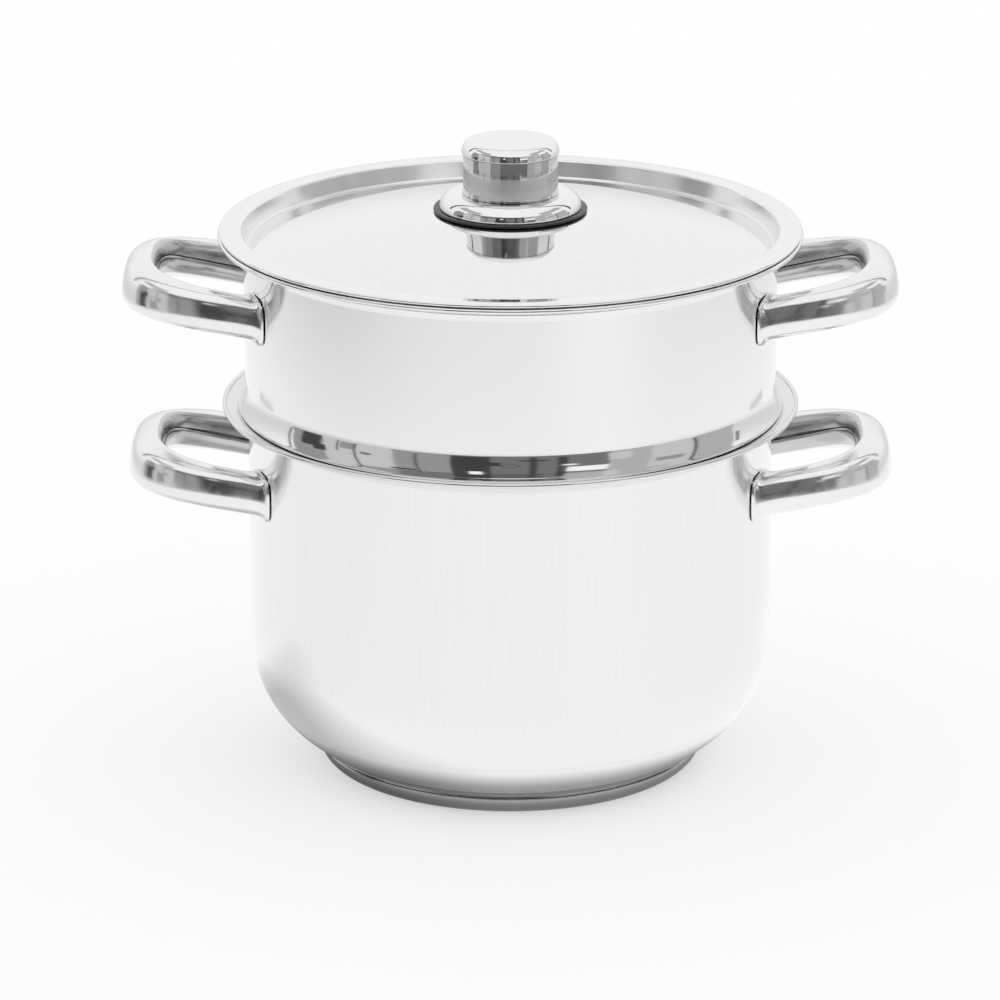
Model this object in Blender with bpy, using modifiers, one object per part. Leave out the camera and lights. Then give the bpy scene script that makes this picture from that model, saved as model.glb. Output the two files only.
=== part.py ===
"""Couscous pot: a two-handled stewpot, a steamer that sits in its rim, and a recessed lid with a knob.

Run with blender --background --python part.py, or from the text editor. All sizes are in metres, +Z is up
and the origin is the centre of the base on the table. The handles lie along X.
"""

import math

import bmesh
import bpy
from mathutils import Matrix, Vector

# Clearances between neighbouring pieces
SEAT_GAP = 0.0003
INSERT_CLEARANCE = 0.0014

# Facets round a turned piece
SHELL_FACETS = 40
KNOB_FACETS = 24
SCREW_FACETS = 16
SMOOTH_ANGLE = math.radians(35)
MERGE_DISTANCE = 0.00002
MITRE_LIMIT = 0.5
CUTTER_REACH = 3

# Widest turn between two points of an arc
WIDE_STEP = math.radians(10)
BEND_STEP = math.radians(25)
ROLL_STEP = math.radians(62)
DOME_STEP = math.radians(2.6)

# Pot shell
POT_INNER_RADIUS = 0.1200
POT_SHEET = 0.0008
POT_RIM_HEIGHT = 0.1728
POT_CORNER_RADIUS = 0.0510
POT_CORNER_DIP = 0.0013
POT_RIM_OVERHANG = 0.0122
POT_FOOT_STEP = 0.0040
POT_FOOT_ROUND = 0.0020
POT_FOOT_ANGLE = math.radians(35)

# Rolled and flared rims, the same on the pot and on the steamer
RIM_BEND_RADIUS = 0.0065
RIM_SLOPE = math.radians(16)
RIM_ROLL_RADIUS = 0.00105
ROLL_OVERLAP = 0.6

# Sandwich base under the pot
BASE_RADIUS = 0.0895
BASE_HEIGHT = 0.0080
BASE_EDGE_ROUND = 0.0076
BASE_CAP_SHEET = 0.0008

# Steamer shell
STEAMER_WALL_STEP = 0.0014
STEAMER_SHEET = 0.0008
STEAMER_VISIBLE_HEIGHT = 0.0795
STEAMER_RIM_OVERHANG = 0.0118
STEAMER_FLARE_RADIUS = 0.0248
STEAMER_FLARE_ANGLE = math.radians(29)
STEAMER_BEAD_RADIUS = 0.0011
STEAMER_SEAT_START = math.radians(12)
STEAMER_INSERT_DEPTH = 0.0220
STEAMER_FLOOR_CORNER = 0.0100

# Steam holes in the steamer's floor
HOLE_RADIUS = 0.0024
HOLE_PITCH = 0.0200
HOLE_RINGS = 4
HOLES_PER_RING_STEP = 6
HOLE_SIDES = 8

# Lid
LID_SHEET = 0.0008
LID_EDGE_INSET = 0.0006
LID_FLANGE_WIDTH = 0.0105
LID_HEM_THICKNESS = 0.0017
LID_HEM_WIDTH = 0.0040
LID_RECESS_DEPTH = 0.0084
LID_WALL_DRAFT = math.radians(13)
LID_BEND_RADIUS = 0.0014
LID_DOME_RADIUS = 0.4240

# Knob
KNOB_RADIUS = 0.0217
KNOB_SLEEVE_HEIGHT = 0.0186
KNOB_SLEEVE_WALL = 0.0010
KNOB_LIP = 0.0003
KNOB_LIP_HEIGHT = 0.0009
KNOB_CAP_HEIGHT = 0.0063
KNOB_CAP_SHEET = 0.0010
KNOB_CAP_OVERHANG = 0.0007
KNOB_CAP_EDGE_REACH = 0.0042
KNOB_CAP_CROWN = 0.0003
KNOB_CAP_SKIRT = 0.0030
DISH_RADIUS = 0.0325
DISH_BULGE = 0.0069
DISH_FLOOR_DROP = 0.0010
DISH_SHEET = 0.0010
DISH_STEP = math.radians(20)
RING_OUTER_RADIUS = 0.0352
RING_INNER_RADIUS = 0.0285
RING_HEIGHT = 0.0012

# Fixing screw, its washer and the threaded bush inside the knob
SCREW_RADIUS = 0.0025
SCREW_HEAD_RADIUS = 0.0048
SCREW_HEAD_HEIGHT = 0.0028
SCREW_HEAD_ROUND = 0.0018
SCREW_CHAMFER = 0.0006
SCREW_SLOT_WIDTH = 0.0012
SCREW_SLOT_DEPTH = 0.0012
SCREW_HOLE_CLEARANCE = 0.0005
SCREW_ENGAGEMENT = 0.0100
WASHER_RADIUS = 0.0070
WASHER_THICKNESS = 0.0010
BUSH_RADIUS = 0.0065
BUSH_BLIND_END = 0.0030

# Loop handles, the same on the pot and on the steamer
HANDLE_REACH = 0.0553
HANDLE_HALF_SPREAD = 0.0434
HANDLE_SQUARENESS = 3.1
HANDLE_WIDTH = 0.0163
HANDLE_HEIGHT = 0.0199
HANDLE_ROUNDNESS = 2.2
HANDLE_WALL = 0.0012
HANDLE_SEAM = 0.0008
HANDLE_TILT = math.radians(10)
HANDLE_LEAN = 0.34
HANDLE_ROOT_INSET = 0.0050
HANDLE_FOOT_WIDTH = 0.0202
HANDLE_FOOT_HEIGHT = 0.0236
HANDLE_FOOT_ROUNDNESS = 3.6
HANDLE_FOOT_SHIFT = 0.0015
HANDLE_NECK = 0.0080
HANDLE_FLARE_RINGS = (0.0, 0.3, 1.0)
HANDLE_WIDTH_FLARE = 2
HANDLE_HEIGHT_FLARE = 6
HANDLE_STATIONS = 15
HANDLE_SECTION_POINTS = 11
HANDLE_HEADING_STEP = 0.02
POT_HANDLE_DROP = 0.0332
STEAMER_HANDLE_DROP = 0.0291

# Sizes that follow from the ones above
POT_OUTER_RADIUS = POT_INNER_RADIUS + POT_SHEET
POT_RIM_RADIUS = POT_OUTER_RADIUS + POT_RIM_OVERHANG
POT_FLOOR = BASE_HEIGHT + SEAT_GAP
STEAMER_OUTER_RADIUS = POT_OUTER_RADIUS + STEAMER_WALL_STEP
STEAMER_RIM_RADIUS = STEAMER_OUTER_RADIUS + STEAMER_RIM_OVERHANG
STEAMER_RIM_HEIGHT = POT_RIM_HEIGHT + STEAMER_VISIBLE_HEIGHT
LID_TOP = STEAMER_RIM_HEIGHT + SEAT_GAP + LID_HEM_THICKNESS
LID_RADIUS = STEAMER_RIM_RADIUS - LID_EDGE_INSET
SCREW_HOLE_RADIUS = SCREW_RADIUS + SCREW_HOLE_CLEARANCE

MODEL_NAME = "couscous_pot"
SMALL = 0.000001


# Scene housekeeping

def clear_scene():
    for item in list(bpy.data.objects):
        bpy.data.objects.remove(item, do_unlink=True)


def collection(name):
    group = bpy.data.collections.new(name)
    bpy.context.scene.collection.children.link(group)
    return group


def finish(name, colour, roughness, metallic):
    made = bpy.data.materials.new(name)
    made.use_nodes = True
    shader = made.node_tree.nodes["Principled BSDF"]
    shader.inputs["Base Color"].default_value = (*colour, 1.0)
    shader.inputs["Roughness"].default_value = roughness
    shader.inputs["Metallic"].default_value = metallic
    return made


def add_object(name, mesh, group, surface=None):
    made = bpy.data.objects.new(name, mesh)
    group.objects.link(made)
    if surface is not None:
        mesh.materials.append(surface)
    return made


def cut(item, shape, name, cutters):
    """Cut a bmesh shape out of an object. The cutter stays out of the render and moves with the object."""
    mesh = bpy.data.meshes.new(name)
    shape.to_mesh(mesh)
    shape.free()
    cutter = add_object(name, mesh, cutters)
    cutter.hide_render = True
    cutter.display_type = "WIRE"
    cutter.parent = item
    boolean = item.modifiers.new(name, "BOOLEAN")
    boolean.operation = "DIFFERENCE"
    boolean.solver = "EXACT"
    boolean.object = cutter


def settle(item):
    """Turn an object's modifiers into its own mesh, smooth but for its sharp edges."""
    bpy.context.view_layer.update()
    evaluated = item.evaluated_get(bpy.context.evaluated_depsgraph_get())
    mesh = bpy.data.meshes.new_from_object(evaluated)
    mesh.name = item.name
    item.modifiers.clear()
    item.data = mesh
    mesh.shade_smooth()
    mesh.set_sharp_from_angle(angle=SMOOTH_ANGLE)
    return item


# Profiles: lists of (radius, height) points

def arc(centre, radius, start, end, widest=BEND_STEP):
    """Points on a circle from one angle to another, both ends included."""
    steps = max(math.ceil(abs(end - start) / widest - SMALL), 1)
    points = []
    for step in range(steps + 1):
        angle = start + (end - start) * step / steps
        points.append((centre[0] + radius * math.cos(angle), centre[1] + radius * math.sin(angle)))
    return points


def left_offset(path, distance):
    """The path moved to its left by a distance, with mitred corners; a point on the axis stays there."""
    moved = []
    for index, point in enumerate(path):
        before = path[max(index - 1, 0)]
        after = path[min(index + 1, len(path) - 1)]
        into = Vector(point) - Vector(before)
        out = Vector(after) - Vector(point)
        if into.length == 0:
            into = out
        if out.length == 0:
            out = into
        into.normalize()
        out.normalize()
        along = (into + out).normalized()
        reach = distance / max(along.dot(into), MITRE_LIMIT)
        side = Vector((-along.y, along.x)) * reach
        moved.append((max(point[0] + side.x, 0.0) if point[0] > 0 else 0.0, point[1] + side.y))
    return moved


def sheet_outline(face, thickness, roll_radius):
    """Outline of a sheet whose outer face is given from its centre to its edge, the far face to the left.

    The outline runs along the far face from the centre, round the rolled edge and back on the outer face.
    """
    far = left_offset(face, thickness)
    end = (Vector(face[-1]) + Vector(far[-1])) / 2
    before = (Vector(face[-2]) + Vector(far[-2])) / 2
    heading = math.atan2(end.y - before.y, end.x - before.x)
    centre = end + Vector((math.cos(heading), math.sin(heading))) * roll_radius * ROLL_OVERLAP
    join = math.pi - math.asin(thickness / 2 / roll_radius)
    bead = arc(centre, roll_radius, heading + join, heading - join, ROLL_STEP)
    return far[:-1] + bead + face[:-1][::-1]


def turned(name, outline, group, surface=None, facets=SHELL_FACETS, ring=False):
    """Turn an outline about Z. It runs down its outer side; ring closes one that doesn't meet the axis."""
    mesh = bpy.data.meshes.new(name)
    count = len(outline)
    edges = [(index, index + 1) for index in range(count - 1)]
    if ring:
        edges.append((count - 1, 0))
    mesh.from_pydata([(radius, 0.0, height) for radius, height in outline], edges, [])
    made = add_object(name, mesh, group, surface)
    screw = made.modifiers.new("Turn", "SCREW")
    screw.axis = "Z"
    screw.angle = math.tau
    screw.steps = facets
    screw.render_steps = facets
    screw.use_merge_vertices = True
    screw.merge_threshold = MERGE_DISTANCE
    return settle(made)


def rim_face(wall_radius, sheet, rim_radius, rim_height):
    """Underside of a flared rim: from the top of the wall, round the bend and out to the rolled edge."""
    bend = RIM_BEND_RADIUS - sheet
    roll_centre = (rim_radius - RIM_ROLL_RADIUS, rim_height - RIM_ROLL_RADIUS)
    bend_centre_radius = wall_radius + bend
    mid_bend = RIM_BEND_RADIUS - sheet / 2
    top_angle = math.pi / 2 + RIM_SLOPE
    bend_end = bend_centre_radius + mid_bend * math.cos(top_angle)
    rise = (roll_centre[0] - bend_end) * math.tan(RIM_SLOPE)
    bend_height = roll_centre[1] - rise - mid_bend * math.sin(top_angle)
    centre = (bend_centre_radius, bend_height)
    face = arc(centre, bend, math.pi, top_angle)
    run = RIM_ROLL_RADIUS * ROLL_OVERLAP / math.cos(RIM_SLOPE)
    last_radius = roll_centre[0] - run + sheet / 2 * math.sin(RIM_SLOPE)
    last_height = face[-1][1] + (last_radius - face[-1][0]) * math.tan(RIM_SLOPE)
    return face + [(last_radius, last_height)], centre


def hex_rings(rings, pitch, per_ring):
    """Centres of holes on evenly stepped rings round a middle hole."""
    places = [(0.0, 0.0)]
    for ring in range(1, rings + 1):
        count = per_ring * ring
        for index in range(count):
            angle = math.tau * index / count
            places.append((ring * pitch * math.cos(angle), ring * pitch * math.sin(angle)))
    return places


# The pot

def pot_shell(group, surface):
    corner_height = POT_FLOOR + POT_CORNER_RADIUS - POT_CORNER_DIP
    corner_centre = (POT_OUTER_RADIUS - POT_CORNER_RADIUS, corner_height)
    corner_start = POT_FLOOR + POT_FOOT_STEP
    start_angle = math.asin((corner_start - corner_centre[1]) / POT_CORNER_RADIUS)
    foot_centre = (BASE_RADIUS - POT_FOOT_ROUND, POT_FLOOR + POT_FOOT_ROUND)
    face = [(0.0, POT_FLOOR)]
    face += arc(foot_centre, POT_FOOT_ROUND, -math.pi / 2, -POT_FOOT_ANGLE)
    face += arc(corner_centre, POT_CORNER_RADIUS, start_angle, 0.0, WIDE_STEP)
    rim, _ = rim_face(POT_OUTER_RADIUS, POT_SHEET, POT_RIM_RADIUS, POT_RIM_HEIGHT)
    face += rim
    outline = sheet_outline(face, POT_SHEET, RIM_ROLL_RADIUS)
    return turned("pot_shell", outline, group, surface)


def base_cap_face(inset):
    """Outside of the base cap from its centre to its top edge, moved in by an inset."""
    edge = BASE_EDGE_ROUND - inset
    centre = (BASE_RADIUS - BASE_EDGE_ROUND, BASE_EDGE_ROUND)
    return [(0.0, inset)] + arc(centre, edge, -math.pi / 2, 0.0)


def base_cap(group, surface):
    face = base_cap_face(0.0) + [(BASE_RADIUS, BASE_HEIGHT)]
    far = base_cap_face(BASE_CAP_SHEET) + [(BASE_RADIUS - BASE_CAP_SHEET, BASE_HEIGHT)]
    return turned("base_cap", far + face[::-1], group, surface)


def base_core_disc(group, surface):
    face = base_cap_face(BASE_CAP_SHEET + SEAT_GAP)
    side = BASE_RADIUS - BASE_CAP_SHEET - SEAT_GAP
    outline = [(0.0, BASE_HEIGHT), (side, BASE_HEIGHT)] + face[::-1]
    return turned("base_core_disc", outline, group, surface)


# The steamer

def steamer_face():
    """Outer face of the steamer from the centre of its floor up to its rolled rim."""
    _, pot_bend = rim_face(POT_OUTER_RADIUS, POT_SHEET, POT_RIM_RADIUS, POT_RIM_HEIGHT)
    insert_radius = POT_INNER_RADIUS - INSERT_CLEARANCE
    floor = POT_RIM_HEIGHT - STEAMER_INSERT_DEPTH
    corner = (insert_radius - STEAMER_FLOOR_CORNER, floor + STEAMER_FLOOR_CORNER)
    face = [(0.0, floor)]
    face += arc(corner, STEAMER_FLOOR_CORNER, -math.pi / 2, 0.0, ROLL_STEP / 2)

    seat_radius = RIM_BEND_RADIUS + SEAT_GAP
    seat_end = math.pi / 2 + RIM_SLOPE
    seat_start = math.pi - STEAMER_SEAT_START
    seat = arc(pot_bend, seat_radius, seat_start, seat_end)
    face.append((insert_radius, seat[0][1] - (seat[0][0] - insert_radius)))
    face += seat

    flare_end = math.pi + STEAMER_FLARE_ANGLE
    flare_radius_end = STEAMER_OUTER_RADIUS + STEAMER_FLARE_RADIUS * (1 - math.cos(STEAMER_FLARE_ANGLE))
    outward = Vector((math.cos(STEAMER_FLARE_ANGLE), math.sin(STEAMER_FLARE_ANGLE)))
    bead_radius = flare_radius_end - outward.x * STEAMER_BEAD_RADIUS
    low = Vector((math.sin(RIM_SLOPE), -math.cos(RIM_SLOPE))) * STEAMER_BEAD_RADIUS
    bead_low_height = seat[-1][1] + (bead_radius + low.x - seat[-1][0]) * math.tan(RIM_SLOPE)
    bead_centre = (bead_radius, bead_low_height - low.y)
    face += arc(bead_centre, STEAMER_BEAD_RADIUS, RIM_SLOPE - math.pi / 2, STEAMER_FLARE_ANGLE, ROLL_STEP)

    flare_low = bead_centre[1] + outward.y * STEAMER_BEAD_RADIUS
    flare_centre = (
        STEAMER_OUTER_RADIUS + STEAMER_FLARE_RADIUS,
        flare_low + STEAMER_FLARE_RADIUS * math.sin(STEAMER_FLARE_ANGLE),
    )
    face += arc(flare_centre, STEAMER_FLARE_RADIUS, flare_end, math.pi, WIDE_STEP)[1:]

    rim, _ = rim_face(STEAMER_OUTER_RADIUS, STEAMER_SHEET, STEAMER_RIM_RADIUS, STEAMER_RIM_HEIGHT)
    return face + rim


def steam_holes():
    """Short cylinders through the steamer's floor."""
    middle = POT_RIM_HEIGHT - STEAMER_INSERT_DEPTH + STEAMER_SHEET / 2
    shape = bmesh.new()
    for x, y in hex_rings(HOLE_RINGS, HOLE_PITCH, HOLES_PER_RING_STEP):
        bmesh.ops.create_cone(
            shape,
            cap_ends=True,
            segments=HOLE_SIDES,
            radius1=HOLE_RADIUS,
            radius2=HOLE_RADIUS,
            depth=2 * CUTTER_REACH * STEAMER_SHEET,
            matrix=Matrix.Translation((x, y, middle)),
        )
    return shape


def steamer_shell(group, cutters, surface):
    outline = sheet_outline(steamer_face(), STEAMER_SHEET, RIM_ROLL_RADIUS)
    shell = turned("steamer_shell", outline, group, surface)
    cut(shell, steam_holes(), "steam_hole_cutter", cutters)
    return shell


# The lid

def lid_top_face():
    """Top face of the lid from the screw hole out to the edge of its flange."""
    flange_inner = LID_RADIUS - LID_FLANGE_WIDTH
    tangent = LID_BEND_RADIUS * math.tan((math.pi / 2 - LID_WALL_DRAFT) / 2)
    upper_centre = (flange_inner + tangent, LID_TOP - LID_BEND_RADIUS)
    wall_top_angle = math.pi - LID_WALL_DRAFT
    upper = arc(upper_centre, LID_BEND_RADIUS, wall_top_angle, math.pi / 2)
    valley_height = LID_TOP - LID_RECESS_DEPTH
    wall_drop = upper[0][1] - (valley_height + LID_BEND_RADIUS * (1 - math.sin(LID_WALL_DRAFT)))
    wall_foot = (upper[0][0] - wall_drop * math.tan(LID_WALL_DRAFT), upper[0][1] - wall_drop)
    lower_centre = (
        wall_foot[0] - LID_BEND_RADIUS * math.cos(LID_WALL_DRAFT),
        wall_foot[1] + LID_BEND_RADIUS * math.sin(LID_WALL_DRAFT),
    )
    dome_slope = math.asin(lower_centre[0] / (LID_DOME_RADIUS + LID_BEND_RADIUS))
    lower = arc(lower_centre, LID_BEND_RADIUS, -math.pi / 2 - dome_slope, -LID_WALL_DRAFT, ROLL_STEP / 2)
    dome_centre = lower_centre[1] - (LID_DOME_RADIUS + LID_BEND_RADIUS) * math.cos(dome_slope)
    start = math.pi / 2 - math.asin(SCREW_HOLE_RADIUS / LID_DOME_RADIUS)
    dome = arc((0.0, dome_centre), LID_DOME_RADIUS, start, math.pi / 2 - dome_slope, DOME_STEP)
    return dome + lower[1:] + upper, dome_centre


def dome_height(radius):
    """Height of the lid's top face over a radius."""
    _, centre = lid_top_face()
    return centre + math.sqrt(LID_DOME_RADIUS ** 2 - radius ** 2)


def lid_shell(group, surface):
    top, _ = lid_top_face()
    hem_radius = LID_HEM_THICKNESS / 2
    hem_centre = (LID_RADIUS - hem_radius, LID_TOP - hem_radius)
    hem = arc(hem_centre, hem_radius, math.pi / 2, -math.pi / 2, ROLL_STEP)
    hem_inner = LID_RADIUS - LID_HEM_WIDTH
    under = left_offset(top, -LID_SHEET)
    under_flange = [(hem_inner, LID_TOP - LID_HEM_THICKNESS), (hem_inner, LID_TOP - LID_SHEET)]
    outline = top + hem + under_flange + under[::-1]
    return turned("lid_shell", outline, group, surface, ring=True)


# The knob and its fixing

def knob_levels():
    """Heights of the knob's stack, each piece resting on the one below with the seat gap."""
    levels = {}
    levels["ring_foot"] = dome_height(RING_OUTER_RADIUS - RING_HEIGHT / 2) + SEAT_GAP
    levels["ring_top"] = levels["ring_foot"] + RING_HEIGHT
    levels["dish_foot"] = levels["ring_top"] + SEAT_GAP
    levels["dish_floor"] = levels["dish_foot"] + DISH_BULGE - DISH_FLOOR_DROP
    levels["sleeve_foot"] = levels["dish_floor"] + SEAT_GAP
    levels["sleeve_top"] = levels["sleeve_foot"] + KNOB_SLEEVE_HEIGHT
    levels["cap_foot"] = levels["sleeve_top"] + SEAT_GAP
    levels["cap_top"] = levels["cap_foot"] + KNOB_CAP_HEIGHT
    levels["bush_foot"] = levels["dish_floor"] + SEAT_GAP
    levels["bush_top"] = levels["cap_top"] - KNOB_CAP_CROWN - KNOB_CAP_SHEET - SEAT_GAP
    return levels


def knob_insulating_ring(group, surface, levels):
    """Thin ring with a round edge between the dish and the lid. Its underside follows the lid's dome."""
    inner_foot = dome_height(RING_INNER_RADIUS) + SEAT_GAP
    round_edge = RING_HEIGHT / 2
    centre = (RING_OUTER_RADIUS - round_edge, levels["ring_foot"] + round_edge)
    outline = [(RING_INNER_RADIUS, levels["ring_top"])]
    outline += arc(centre, round_edge, math.pi / 2, -math.pi / 2, ROLL_STEP)
    outline.append((RING_INNER_RADIUS, inner_foot))
    return turned("knob_insulating_ring", outline, group, surface, KNOB_FACETS, ring=True)


def knob_dish(group, surface, levels):
    """Pressed dish: a flat floor under the sleeve and a round bulge down to the edge on the ring."""
    centre = (DISH_RADIUS - DISH_BULGE, levels["dish_foot"])
    faces = []
    for sheet in (0.0, DISH_SHEET):
        floor = levels["dish_floor"] - sheet
        bulge = DISH_BULGE - sheet
        start = math.pi - math.asin((floor - centre[1]) / bulge)
        faces.append([(SCREW_HOLE_RADIUS, floor)] + arc(centre, bulge, start, 0.0, DISH_STEP))
    outer, inner = faces
    return turned("knob_dish", outer + inner[::-1], group, surface, KNOB_FACETS, ring=True)


def knob_sleeve(group, surface, levels):
    foot = levels["sleeve_foot"]
    top = levels["sleeve_top"]
    inner = KNOB_RADIUS - KNOB_SLEEVE_WALL
    lip = KNOB_RADIUS + KNOB_LIP
    outline = [(inner, top), (KNOB_RADIUS, top), (KNOB_RADIUS, foot + 2 * KNOB_LIP_HEIGHT)]
    outline += [(lip, foot + KNOB_LIP_HEIGHT), (lip, foot), (inner, foot)]
    return turned("knob_sleeve", outline, group, surface, KNOB_FACETS, ring=True)


def knob_cap(group, surface, levels):
    """Pressed cap: nearly flat top, elliptical edge, and a skirt that locates inside the sleeve."""
    foot = levels["cap_foot"]
    edge_start = KNOB_RADIUS + KNOB_CAP_OVERHANG - KNOB_CAP_EDGE_REACH
    edges = []
    for sheet in (0.0, KNOB_CAP_SHEET):
        reach = KNOB_CAP_EDGE_REACH - sheet
        height = KNOB_CAP_HEIGHT - KNOB_CAP_CROWN - sheet
        low = math.asin(sheet / height)
        edge = arc((0.0, 0.0), 1.0, math.pi / 2, low)
        edges.append([(edge_start + reach * across, foot + height * up) for across, up in edge])
    outer, inner = edges
    skirt_outer = KNOB_RADIUS - KNOB_SLEEVE_WALL - SEAT_GAP
    skirt_inner = skirt_outer - KNOB_CAP_SHEET
    outline = [(0.0, levels["cap_top"])] + outer + [(skirt_outer, foot)]
    outline += [(skirt_outer, foot - KNOB_CAP_SKIRT), (skirt_inner, foot - KNOB_CAP_SKIRT)]
    outline += [(skirt_inner, foot + KNOB_CAP_SHEET)] + inner[::-1]
    outline.append((0.0, levels["cap_top"] - KNOB_CAP_CROWN - KNOB_CAP_SHEET))
    return turned("knob_cap", outline, group, surface, KNOB_FACETS)


def knob_bush(group, surface, levels):
    """Threaded bush under the cap's crown, with a blind hole for the screw."""
    foot = levels["bush_foot"]
    top = levels["bush_top"]
    hole = SCREW_RADIUS + SEAT_GAP
    end = foot + SCREW_ENGAGEMENT + BUSH_BLIND_END
    outline = [(0.0, top), (BUSH_RADIUS, top), (BUSH_RADIUS, foot), (hole, foot), (hole, end), (0.0, end)]
    return turned("knob_bush", outline, group, surface, SCREW_FACETS)


def lid_washer(group, surface):
    top = dome_height(WASHER_RADIUS) - LID_SHEET - SEAT_GAP
    foot = top - WASHER_THICKNESS
    hole = SCREW_HOLE_RADIUS
    outline = [(hole, top), (WASHER_RADIUS, top), (WASHER_RADIUS, foot), (hole, foot)]
    return turned("lid_washer", outline, group, surface, SCREW_FACETS, ring=True)


def lid_screw(group, cutters, surface, levels):
    """Pan-head screw from under the lid, through the dish and into the bush, with a slotted head."""
    seat = dome_height(WASHER_RADIUS) - LID_SHEET - 2 * SEAT_GAP - WASHER_THICKNESS
    foot = seat - SCREW_HEAD_HEIGHT
    tip = levels["bush_foot"] + SCREW_ENGAGEMENT
    shank = SCREW_RADIUS
    outline = [(0.0, tip), (shank - SCREW_CHAMFER, tip), (shank, tip - SCREW_CHAMFER), (shank, seat)]
    outline.append((SCREW_HEAD_RADIUS, seat))
    corner = (SCREW_HEAD_RADIUS - SCREW_HEAD_ROUND, foot + SCREW_HEAD_ROUND)
    outline += arc(corner, SCREW_HEAD_ROUND, 0.0, -math.pi / 2)
    outline.append((0.0, foot))
    screw = turned("lid_screw", outline, group, surface, SCREW_FACETS)

    slot = bmesh.new()
    size = Matrix.Diagonal((CUTTER_REACH * SCREW_HEAD_RADIUS, SCREW_SLOT_WIDTH, 2 * SCREW_SLOT_DEPTH, 1.0))
    bmesh.ops.create_cube(slot, size=1.0, matrix=Matrix.Translation((0.0, 0.0, foot)) @ size)
    cut(screw, slot, "screw_slot_cutter", cutters)
    return screw


# The handles

def handle_centre_line(angle, reach):
    """Point in the handle's own plane: (out from the root line, along the wall)."""
    power = 2 / HANDLE_SQUARENESS
    out = reach * abs(math.cos(angle)) ** power
    along = HANDLE_HALF_SPREAD * math.copysign(abs(math.sin(angle)) ** power, math.sin(angle))
    return Vector((out, along))


def handle_section(width, height, roundness):
    """Outline of the tube's sheet: outer points round from the seam and back along the inner face."""
    seam_angle = HANDLE_SEAM / HANDLE_WIDTH
    turn = (math.tau - 2 * seam_angle) / (HANDLE_SECTION_POINTS - 1)
    power = 2 / roundness
    points = []
    for inset in (0.0, HANDLE_WALL):
        side = []
        for index in range(HANDLE_SECTION_POINTS):
            angle = seam_angle + index * turn
            across = math.copysign(abs(math.cos(angle)) ** power, math.cos(angle))
            up = math.copysign(abs(math.sin(angle)) ** power, math.sin(angle))
            side.append(Vector(((width / 2 - inset) * across, (height / 2 - inset) * up)))
        points += side if inset == 0.0 else side[::-1]
    return points


def loop_ring(angle, wall_radius, root_height):
    """One ring of the loop. In the bend its inner side stands higher than its outer side."""
    root = wall_radius - HANDLE_ROOT_INSET
    reach = HANDLE_REACH + HANDLE_ROOT_INSET - HANDLE_WIDTH / 2
    place = handle_centre_line(angle, reach)
    ahead = handle_centre_line(angle + HANDLE_HEADING_STEP, reach)
    behind = handle_centre_line(angle - HANDLE_HEADING_STEP, reach)
    heading = (ahead - behind).normalized()
    inward = Vector((-heading.y, heading.x))
    ring = []
    for point in handle_section(HANDLE_WIDTH, HANDLE_HEIGHT, HANDLE_ROUNDNESS):
        flat = place + inward * point.x
        rise = math.tan(HANDLE_TILT) * place.x + HANDLE_LEAN * (place.x - flat.x)
        ring.append(Vector((root + flat.x, flat.y, root_height + rise + point.y)))
    return ring


def foot_ring(side, part, wall_radius, root_height):
    """One ring of a foot, which follows the wall. It flares from the neck (part 1) to the wall (part 0)."""
    wide = (1 - part) ** HANDLE_WIDTH_FLARE
    tall = (1 - part) ** HANDLE_HEIGHT_FLARE
    width = HANDLE_WIDTH + (HANDLE_FOOT_WIDTH - HANDLE_WIDTH) * wide
    height = HANDLE_HEIGHT + (HANDLE_FOOT_HEIGHT - HANDLE_HEIGHT) * tall
    roundness = HANDLE_ROUNDNESS + (HANDLE_FOOT_ROUNDNESS - HANDLE_ROUNDNESS) * tall
    middle = side * (HANDLE_HALF_SPREAD - HANDLE_FOOT_SHIFT * wide)
    surface_radius = wall_radius + SEAT_GAP + HANDLE_NECK * part
    ring = []
    for point in handle_section(width, height, roundness):
        y = middle - side * point.x
        x = math.sqrt(surface_radius ** 2 - y ** 2)
        rise = math.tan(HANDLE_TILT) * (x - wall_radius + HANDLE_ROOT_INSET)
        ring.append(Vector((x, y, root_height + rise + point.y)))
    return ring


def handle_rings(wall_radius, root_height):
    """Rings from one foot round the loop to the other, for a handle on the +X side."""
    last = HANDLE_STATIONS - 1
    rings = [foot_ring(-1, part, wall_radius, root_height) for part in HANDLE_FLARE_RINGS]
    for station in range(1, last):
        angle = math.pi / 2 * (2 * station / last - 1)
        rings.append(loop_ring(angle, wall_radius, root_height))
    return rings + [foot_ring(1, part, wall_radius, root_height) for part in HANDLE_FLARE_RINGS[::-1]]


def loop_handle(name, side, wall_radius, root_height, group, surface):
    """Pressed hollow loop with its seam on the inside and its two feet against the wall."""
    rings = handle_rings(wall_radius, root_height)
    shape = bmesh.new()
    rows = [[shape.verts.new(point) for point in ring] for ring in rings]
    count = len(rows[0])
    for row, following in zip(rows, rows[1:]):
        for index in range(count):
            after = (index + 1) % count
            shape.faces.new((row[index], row[after], following[after], following[index]))
    for row in (rows[0], rows[-1]):
        for index in range(count // 2 - 1):
            across = count - 1 - index
            shape.faces.new((row[index], row[index + 1], row[across - 1], row[across]))
    bmesh.ops.recalc_face_normals(shape, faces=shape.faces)
    if side < 0:
        bmesh.ops.rotate(shape, verts=shape.verts, cent=(0, 0, 0), matrix=Matrix.Rotation(math.pi, 3, "Z"))
    mesh = bpy.data.meshes.new(name)
    shape.to_mesh(mesh)
    shape.free()
    mesh.shade_smooth()
    mesh.set_sharp_from_angle(angle=SMOOTH_ANGLE)
    return add_object(name, mesh, group, surface)


# Assembly

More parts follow.
